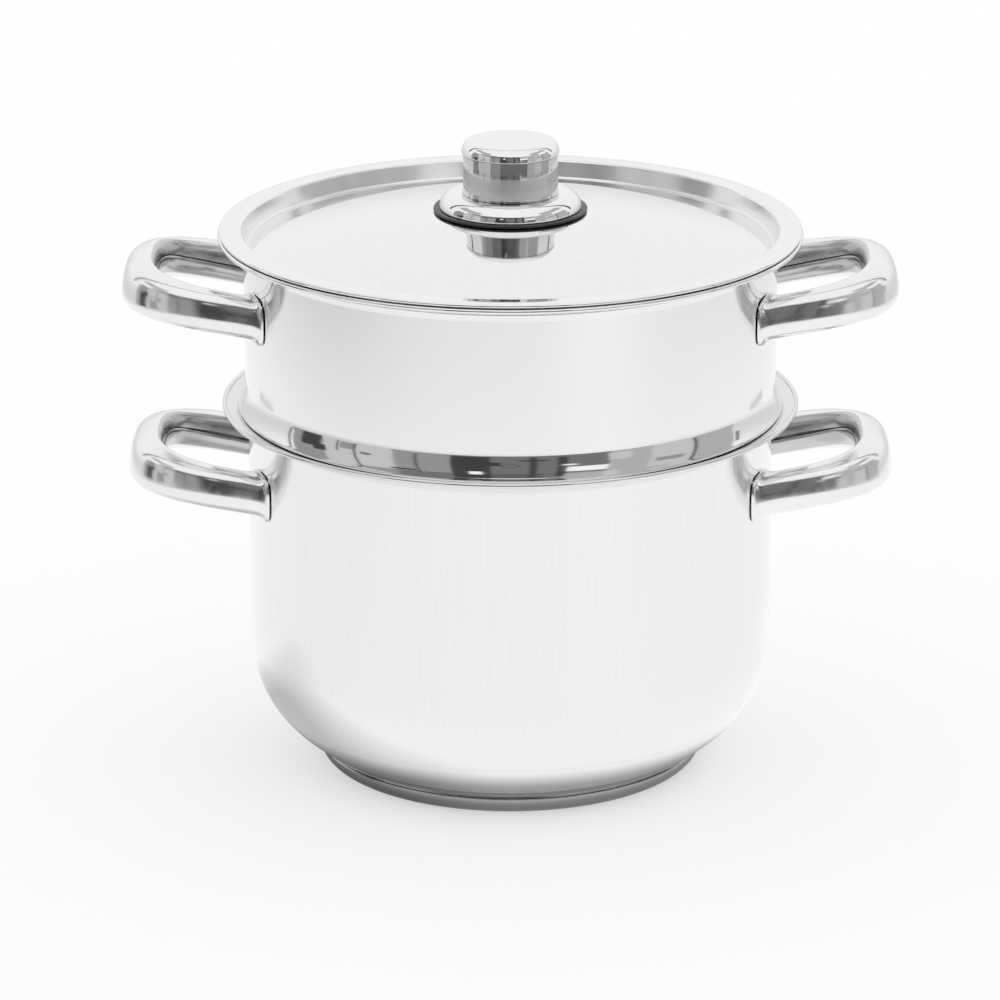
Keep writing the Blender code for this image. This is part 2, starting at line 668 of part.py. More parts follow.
def lifting_group(name, height, group, parent=None):
    """An empty on the axis that the pieces of one lifting part hang on."""
    empty = bpy.data.objects.new(name, None)
    empty.empty_display_size = POT_INNER_RADIUS / 2
    group.objects.link(empty)
    empty.location = (0.0, 0.0, height)
    if parent is not None:
        empty.parent = parent
        empty.location = (0.0, 0.0, height - parent.location.z)
    return empty


def hang(pieces, empty):
    bpy.context.view_layer.update()
    for piece in pieces:
        piece.parent = empty
        piece.matrix_parent_inverse = empty.matrix_world.inverted()


def build():
    clear_scene()
    model = collection(MODEL_NAME)
    cutters = collection("cutters")
    brushed = (0.78, 0.78, 0.77)
    polished = (0.82, 0.82, 0.82)

    pot_shell(model, finish("pot_steel", brushed, 0.30, 1.0))
    base_core_disc(model, finish("base_aluminium", (0.75, 0.76, 0.77), 0.45, 1.0))
    base_cap(model, finish("base_steel", brushed, 0.25, 1.0))
    pot_handle_height = POT_RIM_HEIGHT - POT_HANDLE_DROP
    for name, side in (("pot_handle_left", -1), ("pot_handle_right", 1)):
        surface = finish(name + "_steel", polished, 0.08, 1.0)
        loop_handle(name, side, POT_OUTER_RADIUS, pot_handle_height, model, surface)

    steamer = [steamer_shell(model, cutters, finish("steamer_steel", brushed, 0.28, 1.0))]
    steamer_handle_height = STEAMER_RIM_HEIGHT - STEAMER_HANDLE_DROP
    for name, side in (("steamer_handle_left", -1), ("steamer_handle_right", 1)):
        surface = finish(name + "_steel", polished, 0.08, 1.0)
        steamer.append(loop_handle(name, side, STEAMER_OUTER_RADIUS, steamer_handle_height, model, surface))

    levels = knob_levels()
    lid = [
        lid_shell(model, finish("lid_steel", polished, 0.06, 1.0)),
        knob_insulating_ring(model, finish("ring_phenolic", (0.02, 0.02, 0.02), 0.35, 0.0), levels),
        knob_dish(model, finish("dish_steel", polished, 0.06, 1.0), levels),
        knob_sleeve(model, finish("sleeve_steel", polished, 0.12, 1.0), levels),
        knob_cap(model, finish("cap_steel", polished, 0.06, 1.0), levels),
        knob_bush(model, finish("bush_steel", (0.70, 0.70, 0.69), 0.35, 1.0), levels),
        lid_washer(model, finish("washer_steel", (0.72, 0.72, 0.72), 0.30, 1.0)),
        lid_screw(model, cutters, finish("screw_steel", (0.70, 0.70, 0.70), 0.30, 1.0), levels),
    ]

    steamer_frame = lifting_group("steamer_lift_frame", POT_RIM_HEIGHT, model)
    lid_frame = lifting_group("lid_lift_frame", STEAMER_RIM_HEIGHT, model, steamer_frame)
    hang(steamer, steamer_frame)
    hang(lid, lid_frame)


build()
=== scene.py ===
import math

import bmesh
import bpy
from mathutils import Matrix, Vector


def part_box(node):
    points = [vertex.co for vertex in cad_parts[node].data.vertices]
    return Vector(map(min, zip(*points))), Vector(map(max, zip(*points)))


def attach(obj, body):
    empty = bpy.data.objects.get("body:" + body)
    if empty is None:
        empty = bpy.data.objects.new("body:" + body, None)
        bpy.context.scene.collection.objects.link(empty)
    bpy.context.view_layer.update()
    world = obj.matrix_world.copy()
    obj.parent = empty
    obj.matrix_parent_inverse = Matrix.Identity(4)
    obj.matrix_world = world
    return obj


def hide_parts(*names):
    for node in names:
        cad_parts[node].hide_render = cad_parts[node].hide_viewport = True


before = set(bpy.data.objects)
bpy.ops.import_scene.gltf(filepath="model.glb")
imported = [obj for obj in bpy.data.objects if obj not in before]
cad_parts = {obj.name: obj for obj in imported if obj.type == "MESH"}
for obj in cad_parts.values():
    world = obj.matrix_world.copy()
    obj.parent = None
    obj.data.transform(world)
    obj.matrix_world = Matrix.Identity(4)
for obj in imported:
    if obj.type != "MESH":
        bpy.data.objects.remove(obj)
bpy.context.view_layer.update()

# Camera, worked out from the round edges in the photograph
CAMERA_BACK = 2.3153
CAMERA_HEIGHT = 0.8756
CAMERA_PITCH = math.radians(18.02)
CAMERA_LENS = 188.63
CAMERA_SENSOR = 36.0
CAMERA_SHIFT = -0.0104

# Fineness of the turned pieces
SHELL_SEGMENTS = 192
KNOB_SEGMENTS = 96
BEND_STEP = math.radians(6)
ROLL_STEP = math.radians(18)
BODY_STEP = math.radians(4)
DOME_STEP = math.radians(0.5)
FLARE_STEP = math.radians(2)
LID_BEND_STEP = math.radians(8)
DISH_STEP = math.radians(5)
CROWN_STEPS = 8
SMOOTH_ANGLE = math.radians(32)
MITRE_LIMIT = 0.5
AXIS = 0.00001
SEAT_GAP = 0.0003

# Greys and marks of the materials; a spread is a lowest and a highest share
NOISE_LOW = 0.3
NOISE_HIGH = 0.7
BRUSHED_GREY = 0.85
BRUSHED_SPREAD = (0.85, 1.15)
BRUSH_FADE = 0.0008
BRUSH_START = 0.0090
BRUSH_SPREAD_ROUND = 0.6
STREAK_SCALE = 1500.0
CLOUD_SCALE = 22.0
POLISHED_GREY = 0.86
POLISHED_MARKS = (0.845, 0.870)
POLISHED_SPREAD = (0.8, 1.3)
WIPING_SCALE = 260.0
TURNED_MARKS = (0.96, 1.04)
TURNED_SPREAD = (0.85, 1.2)
TURNING_SCALE = 2600.0
PLASTIC_SCALE = 900.0

# Sheets, bends and rolled edges
SHEET = 0.0008
RIM_BEND_RADIUS = 0.0065
RIM_SLOPE = math.radians(16)
RIM_ROLL_RADIUS = 0.00105
ROLL_OVERLAP = 0.6

# Pot and base
POT_RIM_OVERHANG = 0.0122
POT_CORNER_RADIUS = 0.0510
POT_CORNER_DIP = 0.0013
POT_FOOT_START = math.radians(-53)
POT_FOOT_ROUND = 0.0004
BASE_EDGE_ROUND = 0.0074
BASE_LIP = 0.0004

# Steamer
STEAMER_RIM_OVERHANG = 0.0118
STEAMER_FLARE_RADIUS = 0.0226
STEAMER_FLARE_ANGLE = math.radians(30.3)
STEAMER_BEAD_RADIUS = 0.0014
STEAMER_SEAT_START = math.radians(12)
STEAMER_SEAT_GAP = 0.0001
STEAMER_FLOOR_CORNER = 0.0100
INSERT_CLEARANCE = 0.0014
HOLE_RADIUS = 0.0024
HOLE_ROUND = 0.00025
HOLE_PITCH = 0.0200
HOLE_RINGS = 4
HOLES_PER_RING_STEP = 6
HOLE_SIDES = 20
FLOOR_MARGIN = 0.0020

# Lid
LID_FLANGE_WIDTH = 0.0105
LID_HEM_THICKNESS = 0.0017
LID_HEM_WIDTH = 0.0040
LID_RECESS_DEPTH = 0.0084
LID_WALL_DRAFT = math.radians(13)
LID_BEND_RADIUS = 0.0014
LID_DOME_RADIUS = 0.4240
LID_WALL_START = 0.0145
LID_WALL_ROUGHNESS = 0.20
SCREW_HOLE_RADIUS = 0.0030

# Knob
KNOB_SLEEVE_WALL = 0.0010
KNOB_LIP = 0.0003
KNOB_LIP_HEIGHT = 0.0009
SLEEVE_SATIN = 0.0115
SLEEVE_SATIN_ROUGHNESS = 0.12
KNOB_CAP_SHEET = 0.0010
KNOB_CAP_EDGE_REACH = 0.0042
KNOB_CAP_CROWN = 0.0003
KNOB_CAP_FOOT_ROUND = 0.0006
DISH_SHEET = 0.0010
DISH_BULGE = 0.0069
DISH_FLOOR_DROP = 0.0002
RING_OUTER_RADIUS = 0.0352
RING_INNER_RADIUS = 0.0285

# Loop handles
HANDLE_REACH = 0.0553
HANDLE_HALF_SPREAD = 0.0434
HANDLE_POWER = 2 / 3.1
HANDLE_WIDTH = 0.0163
HANDLE_HEIGHT = 0.0199
HANDLE_ROUNDNESS = 2.1
HANDLE_TOP_ROUNDNESS = 3.6
HANDLE_TOP_SHARE = 0.91
HANDLE_TAPER = 0.17
HANDLE_WALL = 0.0012
HANDLE_TILT = math.radians(10)
HANDLE_LEAN = 0.34
HANDLE_ROOT_INSET = 0.0050
HANDLE_FOOT_WIDTH = 0.0202
HANDLE_FOOT_HEIGHT = 0.0218
HANDLE_FOOT_DROP = 0.0010
HANDLE_FOOT_GAP = 0.0005
HANDLE_FOOT_ROUNDNESS = 3.6
HANDLE_FOOT_SHIFT = 0.0015
HANDLE_FOOT_EDGE = 0.0007
HANDLE_NECK = 0.0080
HANDLE_WIDTH_FLARE = 2
HANDLE_HEIGHT_FLARE = 6
HANDLE_FOLD = 0.0008
HANDLE_FOLD_CORNER = 0.28
HANDLE_FOLD_POINTS = 3
HANDLE_SEAM_CLOSES = (0.14, 0.30)
HANDLE_WALL_FADE = (0.003, 0.016)
HANDLE_SECTION_POINTS = 44
HANDLE_INSIDE = 10
HANDLE_LOOP_STATIONS = 64
HANDLE_LINE_SAMPLES = 720
FOOT_STEPS = 14
FOOT_STEP_POWER = 1.5
POT_HANDLE_DROP = 0.0332
STEAMER_HANDLE_DROP = 0.0291
POT_SEAM = 0.0010
STEAMER_SEAM = 0.0003
CLOSED_SEAM = 0.0001

# Studio: a white table, and the unlit part of the room beyond it
TABLE_RADIUS = 1.03
FLOOR_RADIUS = 14.0
ROOM_RADIUS = 2.2
ROOM_TOP = 1.30
ROOM_CROWN = 1.80
ROOM_GAP = 0.01
SCREEN_STEP = 3.0
LENS_RING_AWAY = 1.35
LENS_RING_HEIGHT = 0.41
LENS_RING_RADII = (0.068, 0.084)
LENS_RING_POINTS = 32
PAD_RADII = (0.668, 0.680)
PAD_HEIGHT = 0.001
ROOM_TONES = {
    "dark": 0.06, "dusk": 0.13, "shade": 0.19, "grey": 0.33, "pale": 0.48, "light": 0.62, "window": 1.05,
}
TABLE_WHITE = 0.50
TABLE_GLOW = 0.50
DAYLIGHT = 1.0

# Studio: the table as the steel mirrors it, with the pot's shadow and darker far off
MIRRORED_LEVEL = 1.03
MIRRORED_INNER = 0.060
SHADE_CORE = 0.086
SHADE_EDGE = 0.121
SHADE_LEVEL = 0.31
SHADE_REACH_LEFT = 0.30
SHADE_REACH_FRONT = 0.125
SHADE_LEFT_LEVEL = 0.55
SHADE_LEFT_START = 0.05
NEAR_SHARE = 0.20
FAR_START = 0.65
FAR_END = 0.93
FAR_DROP = 0.14
FAR_LEFT_DROP = 0.18
FAR_LEFT_AZIMUTH = -77
FAR_LEFT_WIDTH = 38
FAR_RIGHT_RISE = 0.115
FAR_RIGHT_AZIMUTH = 36
FAR_RIGHT_WIDTH = 19
TABLE_RINGS = 90
TABLE_SPOKES = 120
MIRRORED_HEIGHT = 0.0002

# Studio: the dark hoop over the pot and the backdrop behind it
HOOP_BACK = 0.47
HOOP_RADIUS = 1.14
HOOP_CENTRE_HEIGHT = 0.10
HOOP_WIDTH = 0.10
HOOP_START = math.radians(22)
HOOP_STEPS = 54
BACKDROP_START = 105
BACKDROP_END = 259
BACKDROP_RADIUS = 1.9
BACKDROP_FOOT = 0.02
BACKDROP_TOP = 2.6
BACKDROP_LOW_LEVEL = 0.75
BACKDROP_HIGH_LEVEL = 0.98
BACKDROP_FADE = 0.75


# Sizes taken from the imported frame

pot_low, pot_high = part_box("pot_shell")
steamer_low, steamer_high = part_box("steamer_shell")
_, base_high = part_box("base_cap")
lid_low, lid_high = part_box("lid_shell")
POT_RADIUS = pot_high.x - POT_RIM_OVERHANG
STEAMER_RADIUS = steamer_high.x - STEAMER_RIM_OVERHANG
INSERT_RADIUS = POT_RADIUS - SHEET - INSERT_CLEARANCE
LID_TOP = lid_low.z + LID_RECESS_DEPTH + SHEET


# Meshes

def new_object(name, mesh, surface):
    made = bpy.data.objects.new(name, mesh)
    bpy.context.scene.collection.objects.link(made)
    mesh.materials.append(surface)
    return made


def mesh_from(name, shape):
    """A smooth mesh with its real corners kept sharp."""
    bmesh.ops.recalc_face_normals(shape, faces=shape.faces)
    mesh = bpy.data.meshes.new(name)
    shape.to_mesh(mesh)
    shape.free()
    mesh.shade_smooth()
    mesh.set_sharp_from_angle(angle=SMOOTH_ANGLE)
    return mesh


def ring_points(shape, radius, height, segments):
    points = []
    for index in range(segments):
        angle = math.tau * index / segments
        points.append(shape.verts.new((radius * math.cos(angle), radius * math.sin(angle), height)))
    return points


def bridge(shape, first, second):
    """Faces between two rings; either may be a single point on the axis."""
    count = max(len(first), len(second))
    for index in range(count):
        after = (index + 1) % count
        corners = [
            first[index % len(first)],
            first[after % len(first)],
            second[after % len(second)],
            second[index % len(second)],
        ]
        shape.faces.new(list(dict.fromkeys(corners)))


def turn(shape, outline, segments, closed):
    """Turn (radius, height) points about Z and return the rings."""
    rings = []
    for radius, height in outline:
        if radius < AXIS:
            rings.append([shape.verts.new((0.0, 0.0, height))])
        else:
            rings.append(ring_points(shape, radius, height, segments))
    for first, second in zip(rings, rings[1:]):
        bridge(shape, first, second)
    if closed:
        bridge(shape, rings[-1], rings[0])
    return rings


def turned(name, outline, surface, segments=SHELL_SEGMENTS, closed=False):
    shape = bmesh.new()
    turn(shape, outline, segments, closed)
    return new_object(name, mesh_from(name, shape), surface)


# Profiles: lists of (radius, height) points

def arc(centre, radius, start, end, widest=BEND_STEP):
    steps = max(math.ceil(abs(end - start) / widest), 1)
    points = []
    for step in range(steps + 1):
        angle = start + (end - start) * step / steps
        points.append((centre[0] + radius * math.cos(angle), centre[1] + radius * math.sin(angle)))
    return points


def left_offset(path, distance):
    """The path moved to its left by a distance, with mitred corners; a point on the axis stays there."""
    moved = []
    for index, point in enumerate(path):
        before = path[max(index - 1, 0)]
        after = path[min(index + 1, len(path) - 1)]
        into = Vector(point) - Vector(before)
        out = Vector(after) - Vector(point)
        into = (into if into.length else out).normalized()
        out = (out if out.length else into).normalized()
        along = (into + out).normalized()
        reach = distance / max(along.dot(into), MITRE_LIMIT)
        side = Vector((-along.y, along.x)) * reach
        moved.append((max(point[0] + side.x, 0.0) if point[0] > 0 else 0.0, point[1] + side.y))
    return moved


def sheet_outline(face, thickness):
    """Outline of a sheet: along its far face, round the rolled edge and back along its outer face."""
    far = left_offset(face, thickness)
    end = (Vector(face[-1]) + Vector(far[-1])) / 2
    before = (Vector(face[-2]) + Vector(far[-2])) / 2
    heading = math.atan2(end.y - before.y, end.x - before.x)
    centre = end + Vector((math.cos(heading), math.sin(heading))) * RIM_ROLL_RADIUS * ROLL_OVERLAP
    join = math.pi - math.asin(thickness / 2 / RIM_ROLL_RADIUS)
    bead = arc(centre, RIM_ROLL_RADIUS, heading + join, heading - join, ROLL_STEP)
    return far[:-1] + bead + face[:-1][::-1]


def rim_face(wall_radius, rim_radius, rim_height):
    """Underside of a flared rim, from the top of the wall out to the rolled edge, and the bend's centre."""
    bend = RIM_BEND_RADIUS - SHEET
    roll_centre = (rim_radius - RIM_ROLL_RADIUS, rim_height - RIM_ROLL_RADIUS)
    mid_bend = RIM_BEND_RADIUS - SHEET / 2
    top_angle = math.pi / 2 + RIM_SLOPE
    bend_end = wall_radius + bend + mid_bend * math.cos(top_angle)
    rise = (roll_centre[0] - bend_end) * math.tan(RIM_SLOPE)
    centre = (wall_radius + bend, roll_centre[1] - rise - mid_bend * math.sin(top_angle))
    face = arc(centre, bend, math.pi, top_angle)
    run = RIM_ROLL_RADIUS * ROLL_OVERLAP / math.cos(RIM_SLOPE)
    last_radius = roll_centre[0] - run + SHEET / 2 * math.sin(RIM_SLOPE)
    last_height = face[-1][1] + (last_radius - face[-1][0]) * math.tan(RIM_SLOPE)
    return face + [(last_radius, last_height)], centre


def inner_steps(radius, height, count=6):
    """Points from the axis out along a flat face, so that no long thin triangle reaches its edge."""
    return [(radius * step / count, height) for step in range(count)]


# Materials

class Surface:
    """Builds one node material step by step."""

    def __init__(self, name, colour, roughness, metallic):
        self.material = bpy.data.materials.new(name)
        self.material.use_nodes = True
        self.tree = self.material.node_tree
        self.shader = self.tree.nodes["Principled BSDF"]
        self.shader.inputs["Base Color"].default_value = (*colour, 1.0)
        self.shader.inputs["Roughness"].default_value = roughness
        self.shader.inputs["Metallic"].default_value = metallic
        self.place = self.tree.nodes.new("ShaderNodeTexCoord").outputs["Object"]
        self.height = None

    def node(self, kind, **values):
        made = self.tree.nodes.new(kind)
        for name, value in values.items():
            setattr(made, name, value)
        return made

    def link(self, output, socket):
        self.tree.links.new(output, socket)

    def noise(self, scale, stretch=(1.0, 1.0, 1.0), detail=3.0, distortion=0.0):
        """Noise over the object's own coordinates, stretched along an axis by a factor below one."""
        mapping = self.node("ShaderNodeMapping")
        mapping.inputs["Scale"].default_value = stretch
        self.link(self.place, mapping.inputs["Vector"])
        made = self.node("ShaderNodeTexNoise")
        made.inputs["Scale"].default_value = scale
        made.inputs["Detail"].default_value = detail
        made.inputs["Distortion"].default_value = distortion
        self.link(mapping.outputs["Vector"], made.inputs["Vector"])
        return made.outputs["Fac"]

    def along(self, axis):
        """The place along one axis."""
        parts = self.node("ShaderNodeSeparateXYZ")
        self.link(self.place, parts.inputs["Vector"])
        return parts.outputs[axis]

    def from_axis(self):
        """The distance from the upright axis."""
        flat = self.node("ShaderNodeVectorMath", operation="MULTIPLY")
        flat.inputs[1].default_value = (1.0, 1.0, 0.0)
        self.link(self.place, flat.inputs[0])
        length = self.node("ShaderNodeVectorMath", operation="LENGTH")
        self.link(flat.outputs["Vector"], length.inputs[0])
        return length.outputs["Value"]

    def turning(self, scale):
        """Fine concentric turning marks: noise over the distance from the axis and the height."""
        ring = self.node("ShaderNodeCombineXYZ")
        self.link(self.from_axis(), ring.inputs["X"])
        self.link(self.along("Z"), ring.inputs["Y"])
        made = self.node("ShaderNodeTexNoise")
        made.inputs["Scale"].default_value = scale
        made.inputs["Detail"].default_value = 4.0
        self.link(ring.outputs["Vector"], made.inputs["Vector"])
        return made.outputs["Fac"]

    def between(self, value, low, high, from_low=NOISE_LOW, from_high=NOISE_HIGH):
        """A value spread between two numbers."""
        made = self.node("ShaderNodeMapRange")
        numbers = {"From Min": from_low, "From Max": from_high, "To Min": low, "To Max": high}
        for name, number in numbers.items():
            made.inputs[name].default_value = number
        self.link(value, made.inputs["Value"])
        return made.outputs["Result"]

    def combined(self, operation, first, second):
        made = self.node("ShaderNodeMath", operation=operation)
        self.link(first, made.inputs[0])
        self.link(second, made.inputs[1])
        return made.outputs["Value"]

    def times(self, first, second):
        return self.combined("MULTIPLY", first, second)

    def band(self, low, high, soft):
        """One inside a range of heights and nought outside it."""
        height = self.along("Z")
        rising = self.between(height, 0.0, 1.0, low - soft, low + soft)
        falling = self.between(height, 1.0, 0.0, high - soft, high + soft)
        return self.times(rising, falling)

    def current(self, name):
        """What is linked to one of the shader's sockets so far."""
        return self.shader.inputs[name].links[0].from_socket

    def tint(self, value, low, high):
        """Base colour between two greys by a value."""
        ramp = self.node("ShaderNodeValToRGB")
        ends = ((NOISE_LOW, low), (NOISE_HIGH, high))
        for element, (position, colour) in zip(ramp.color_ramp.elements, ends):
            element.position = position
            element.color = (*colour, 1.0)
        self.link(value, ramp.inputs["Fac"])
        self.link(ramp.outputs["Color"], self.shader.inputs["Base Color"])

    def rough(self, value):
        self.link(value, self.shader.inputs["Roughness"])

    def rough_about(self, value, roughness, spread):
        """Roughness that a value varies between two shares of it."""
        self.rough(self.between(value, roughness * spread[0], roughness * spread[1]))

    def rougher(self, share, roughness):
        """Raise the roughness where the share is one."""
        raised = self.between(share, 0.0, roughness, 0.0, 1.0)
        self.rough(self.combined("MAXIMUM", raised, self.current("Roughness")))

    def bump(self, value, depth):
        """Relief of a depth by a value, added to the relief made so far."""
        made = self.node("ShaderNodeBump")
        made.inputs["Strength"].default_value = 1.0
        made.inputs["Distance"].default_value = depth
        self.link(value, made.inputs["Height"])
        if self.height is not None:
            self.link(self.height, made.inputs["Normal"])
        self.height = made.outputs["Normal"]
        self.link(self.height, self.shader.inputs["Normal"])

    def grain_round(self, amount):
        """Reflections spread round the axis, as on steel brushed up and down."""
        self.shader.inputs["Anisotropic"].default_value = amount
        tangent = self.node("ShaderNodeTangent", direction_type="RADIAL", axis="Z")
        self.link(tangent.outputs["Tangent"], self.shader.inputs["Tangent"])


def brushed_steel(name, roughness, grain, streak, foot, rim, low, high):
    """Steel brushed up and down between two heights, most at the top, and polished below and above.

    foot and rim are the greys of the polished steel below and above; a foot lighter than the brushed grey
    is a painted highlight, and a rim darker than it is a painted shade.
    """
    made = Surface(name, (BRUSHED_GREY,) * 3, roughness, metallic=1.0)
    streaks = made.noise(STREAK_SCALE, stretch=(1.0, 1.0, 0.02), detail=5.0)
    cloud = made.noise(CLOUD_SCALE, stretch=(1.0, 1.0, 0.6), detail=2.0)
    brushed = made.band(low, high, BRUSH_FADE)
    made.tint(streaks, (BRUSHED_GREY - streak,) * 3, (BRUSHED_GREY + streak,) * 3)
    # Polished greys below and above the brushed band: a lighter foot is a painted highlight, a darker rim a
    # painted shade.
    colour = made.node("ShaderNodeMix", data_type="RGBA")
    made.link(brushed, colour.inputs["Factor"])
    made.link(made.between(made.along("Z"), foot, rim, low, high), colour.inputs["A"])
    made.link(made.current("Base Color"), colour.inputs["B"])
    made.link(colour.outputs["Result"], made.shader.inputs["Base Color"])
    made.rough_about(cloud, roughness, BRUSHED_SPREAD)
    marks = made.between(streaks, 0.0, 1.0)
    top = made.band(high - BRUSH_START, high, BRUSH_START / 4)
    for share in (brushed, top):
        made.bump(made.times(marks, share), grain)
    made.grain_round(BRUSH_SPREAD_ROUND)
    return made.material


def polished_steel(name, roughness, wave, wave_scale, wall=None, satin=None, shade=1.0):
    """Mirror-polished steel with the slight waviness of pressed sheet and faint wiping marks.

    wall is a rougher zone between two distances from the axis, where the sheet was drawn down, and satin
    one between two heights. shade scales all its greys down, a painted shade.
    """
    made = Surface(name, (POLISHED_GREY,) * 3, roughness, metallic=1.0)
    waviness = made.noise(wave_scale, detail=1.0)
    marks = made.noise(WIPING_SCALE, stretch=(1.0, 0.35, 1.0), detail=4.0, distortion=0.4)
    # Greys times shade: below one this is a painted shade.
    made.tint(marks, *((grey * shade,) * 3 for grey in POLISHED_MARKS))
    made.rough_about(marks, roughness, POLISHED_SPREAD)
    made.bump(waviness, wave)
    if wall:
        low, high, wall_roughness = wall
        across = made.from_axis()
        inner = made.between(across, 0.0, 1.0, low, low + SHEET)
        outer = made.between(across, 1.0, 0.0, high, high + SHEET)
        made.rougher(made.times(inner, outer), wall_roughness)
    if satin:
        low, high, satin_roughness = satin
        made.rougher(made.band(low, high, SHEET), satin_roughness)
    return made.material


def turned_metal(name, colour, roughness, depth):
    """Metal with fine turning marks round its axis."""
    made = Surface(name, colour, roughness, metallic=1.0)
    rings = made.turning(TURNING_SCALE)
    made.tint(rings, *(tuple(part * share for part in colour) for share in TURNED_MARKS))
    made.rough_about(rings, roughness, TURNED_SPREAD)
    made.bump(rings, depth)
    return made.material


def black_plastic():
    made = Surface("black_phenolic", (0.016, 0.016, 0.017), roughness=0.32, metallic=0.0)
    grain = made.noise(PLASTIC_SCALE)
    made.tint(grain, (0.012, 0.012, 0.013), (0.022, 0.022, 0.023))
    made.rough(made.between(grain, 0.26, 0.40))
    made.bump(grain, depth=0.00002)
    return made.material


# Pot

def base_face(inset, radius, height):
    edge = BASE_EDGE_ROUND - inset
    centre = (radius - BASE_EDGE_ROUND, BASE_EDGE_ROUND)
    return inner_steps(centre[0], inset) + arc(centre, edge, -math.pi / 2, 0.0) + [(radius - inset, height)]


def make_base(surface):
    radius = base_high.x
    face = base_face(0.0, radius, base_high.z - BASE_LIP)
    face.append((radius - BASE_LIP, base_high.z))
    far = base_face(SHEET, radius, base_high.z)
    return turned("base_cap_skin", far + face[::-1], surface)


def make_pot(surface):
    floor = pot_low.z
    centre = (POT_RADIUS - POT_CORNER_RADIUS, floor + POT_CORNER_RADIUS - POT_CORNER_DIP)
    foot_centre = (base_high.x - POT_FOOT_ROUND, floor + POT_FOOT_ROUND)
    face = inner_steps(foot_centre[0], floor)
    face += arc(foot_centre, POT_FOOT_ROUND, -math.pi / 2, POT_FOOT_START, ROLL_STEP)
    face += arc(centre, POT_CORNER_RADIUS, POT_FOOT_START, 0.0, BODY_STEP)
    rim, _ = rim_face(POT_RADIUS, pot_high.x, pot_high.z)
    return turned("pot_body", sheet_outline(face + rim, SHEET), surface)


# Steamer

def steamer_wall_face():
    """Outer face of the steamer from near the edge of its floor up to its rolled rim."""
    _, pot_bend = rim_face(POT_RADIUS, pot_high.x, pot_high.z)
    floor = steamer_low.z
    corner = (INSERT_RADIUS - STEAMER_FLOOR_CORNER, floor + STEAMER_FLOOR_CORNER)
    face = [(corner[0] - FLOOR_MARGIN, floor)]
    face += arc(corner, STEAMER_FLOOR_CORNER, -math.pi / 2, 0.0)
    seat_start = math.pi - STEAMER_SEAT_START
    seat = arc(pot_bend, RIM_BEND_RADIUS + STEAMER_SEAT_GAP, seat_start, math.pi / 2 + RIM_SLOPE)
    face.append((INSERT_RADIUS, seat[0][1] - (seat[0][0] - INSERT_RADIUS)))
    face += seat

    flare_out = STEAMER_RADIUS + STEAMER_FLARE_RADIUS * (1 - math.cos(STEAMER_FLARE_ANGLE))
    outward = Vector((math.cos(STEAMER_FLARE_ANGLE), math.sin(STEAMER_FLARE_ANGLE)))
    bead_radius = flare_out - outward.x * STEAMER_BEAD_RADIUS
    low = Vector((math.sin(RIM_SLOPE), -math.cos(RIM_SLOPE))) * STEAMER_BEAD_RADIUS
    bead_low = seat[-1][1] + (bead_radius + low.x - seat[-1][0]) * math.tan(RIM_SLOPE)
    bead = (bead_radius, bead_low - low.y)
    face += arc(bead, STEAMER_BEAD_RADIUS, RIM_SLOPE - math.pi / 2, STEAMER_FLARE_ANGLE, ROLL_STEP)
    flare_low = bead[1] + outward.y * STEAMER_BEAD_RADIUS
    flare_centre = (
        STEAMER_RADIUS + STEAMER_FLARE_RADIUS,
        flare_low + STEAMER_FLARE_RADIUS * math.sin(STEAMER_FLARE_ANGLE),
    )
    flare = arc(flare_centre, STEAMER_FLARE_RADIUS, math.pi + STEAMER_FLARE_ANGLE, math.pi, FLARE_STEP)
    rim, _ = rim_face(STEAMER_RADIUS, steamer_high.x, steamer_high.z)
    return face + flare[1:] + rim


def hole_places():
    places = [(0.0, 0.0)]
    for ring in range(1, HOLE_RINGS + 1):
        count = HOLES_PER_RING_STEP * ring
        for index in range(count):
            angle = math.tau * index / count
            places.append((ring * HOLE_PITCH * math.cos(angle), ring * HOLE_PITCH * math.sin(angle)))
    return places


def hole_rings(shape, place, levels):
    """Rings down through one steam hole, with rounded edges on both faces."""
    rings = []
    for radius, height in levels:
        ring = ring_points(shape, radius, height, HOLE_SIDES)
        bmesh.ops.translate(shape, verts=ring, vec=(place[0], place[1], 0.0))
        rings.append(ring)
    for first, second in zip(rings, rings[1:]):
        bridge(shape, first, second)
    return rings[0], rings[-1]


def fill_between(shape, outer, holes):
    """Flat face between an outer ring and the rings of holes in it."""
    edges = []
    for ring in [outer] + holes:
        for index, point in enumerate(ring):
            after = ring[(index + 1) % len(ring)]
            edges.append(shape.edges.get((point, after)) or shape.edges.new((point, after)))
    bmesh.ops.triangle_fill(shape, use_beauty=True, use_dissolve=False, edges=edges)


def make_steamer(surface):
    shape = bmesh.new()
    outline = sheet_outline(steamer_wall_face(), SHEET)
    rings = turn(shape, outline, SHELL_SEGMENTS, False)
    low = steamer_low.z
    high = low + SHEET
    levels = [(HOLE_RADIUS + HOLE_ROUND, high), (HOLE_RADIUS, high - HOLE_ROUND)]
    levels += [(HOLE_RADIUS, low + HOLE_ROUND), (HOLE_RADIUS + HOLE_ROUND, low)]
    pairs = [hole_rings(shape, place, levels) for place in hole_places()]
    fill_between(shape, rings[0], [top for top, _ in pairs])
    fill_between(shape, rings[-1], [bottom for _, bottom in pairs])
    return new_object("steamer_body", mesh_from("steamer_body", shape), surface)


# Lid

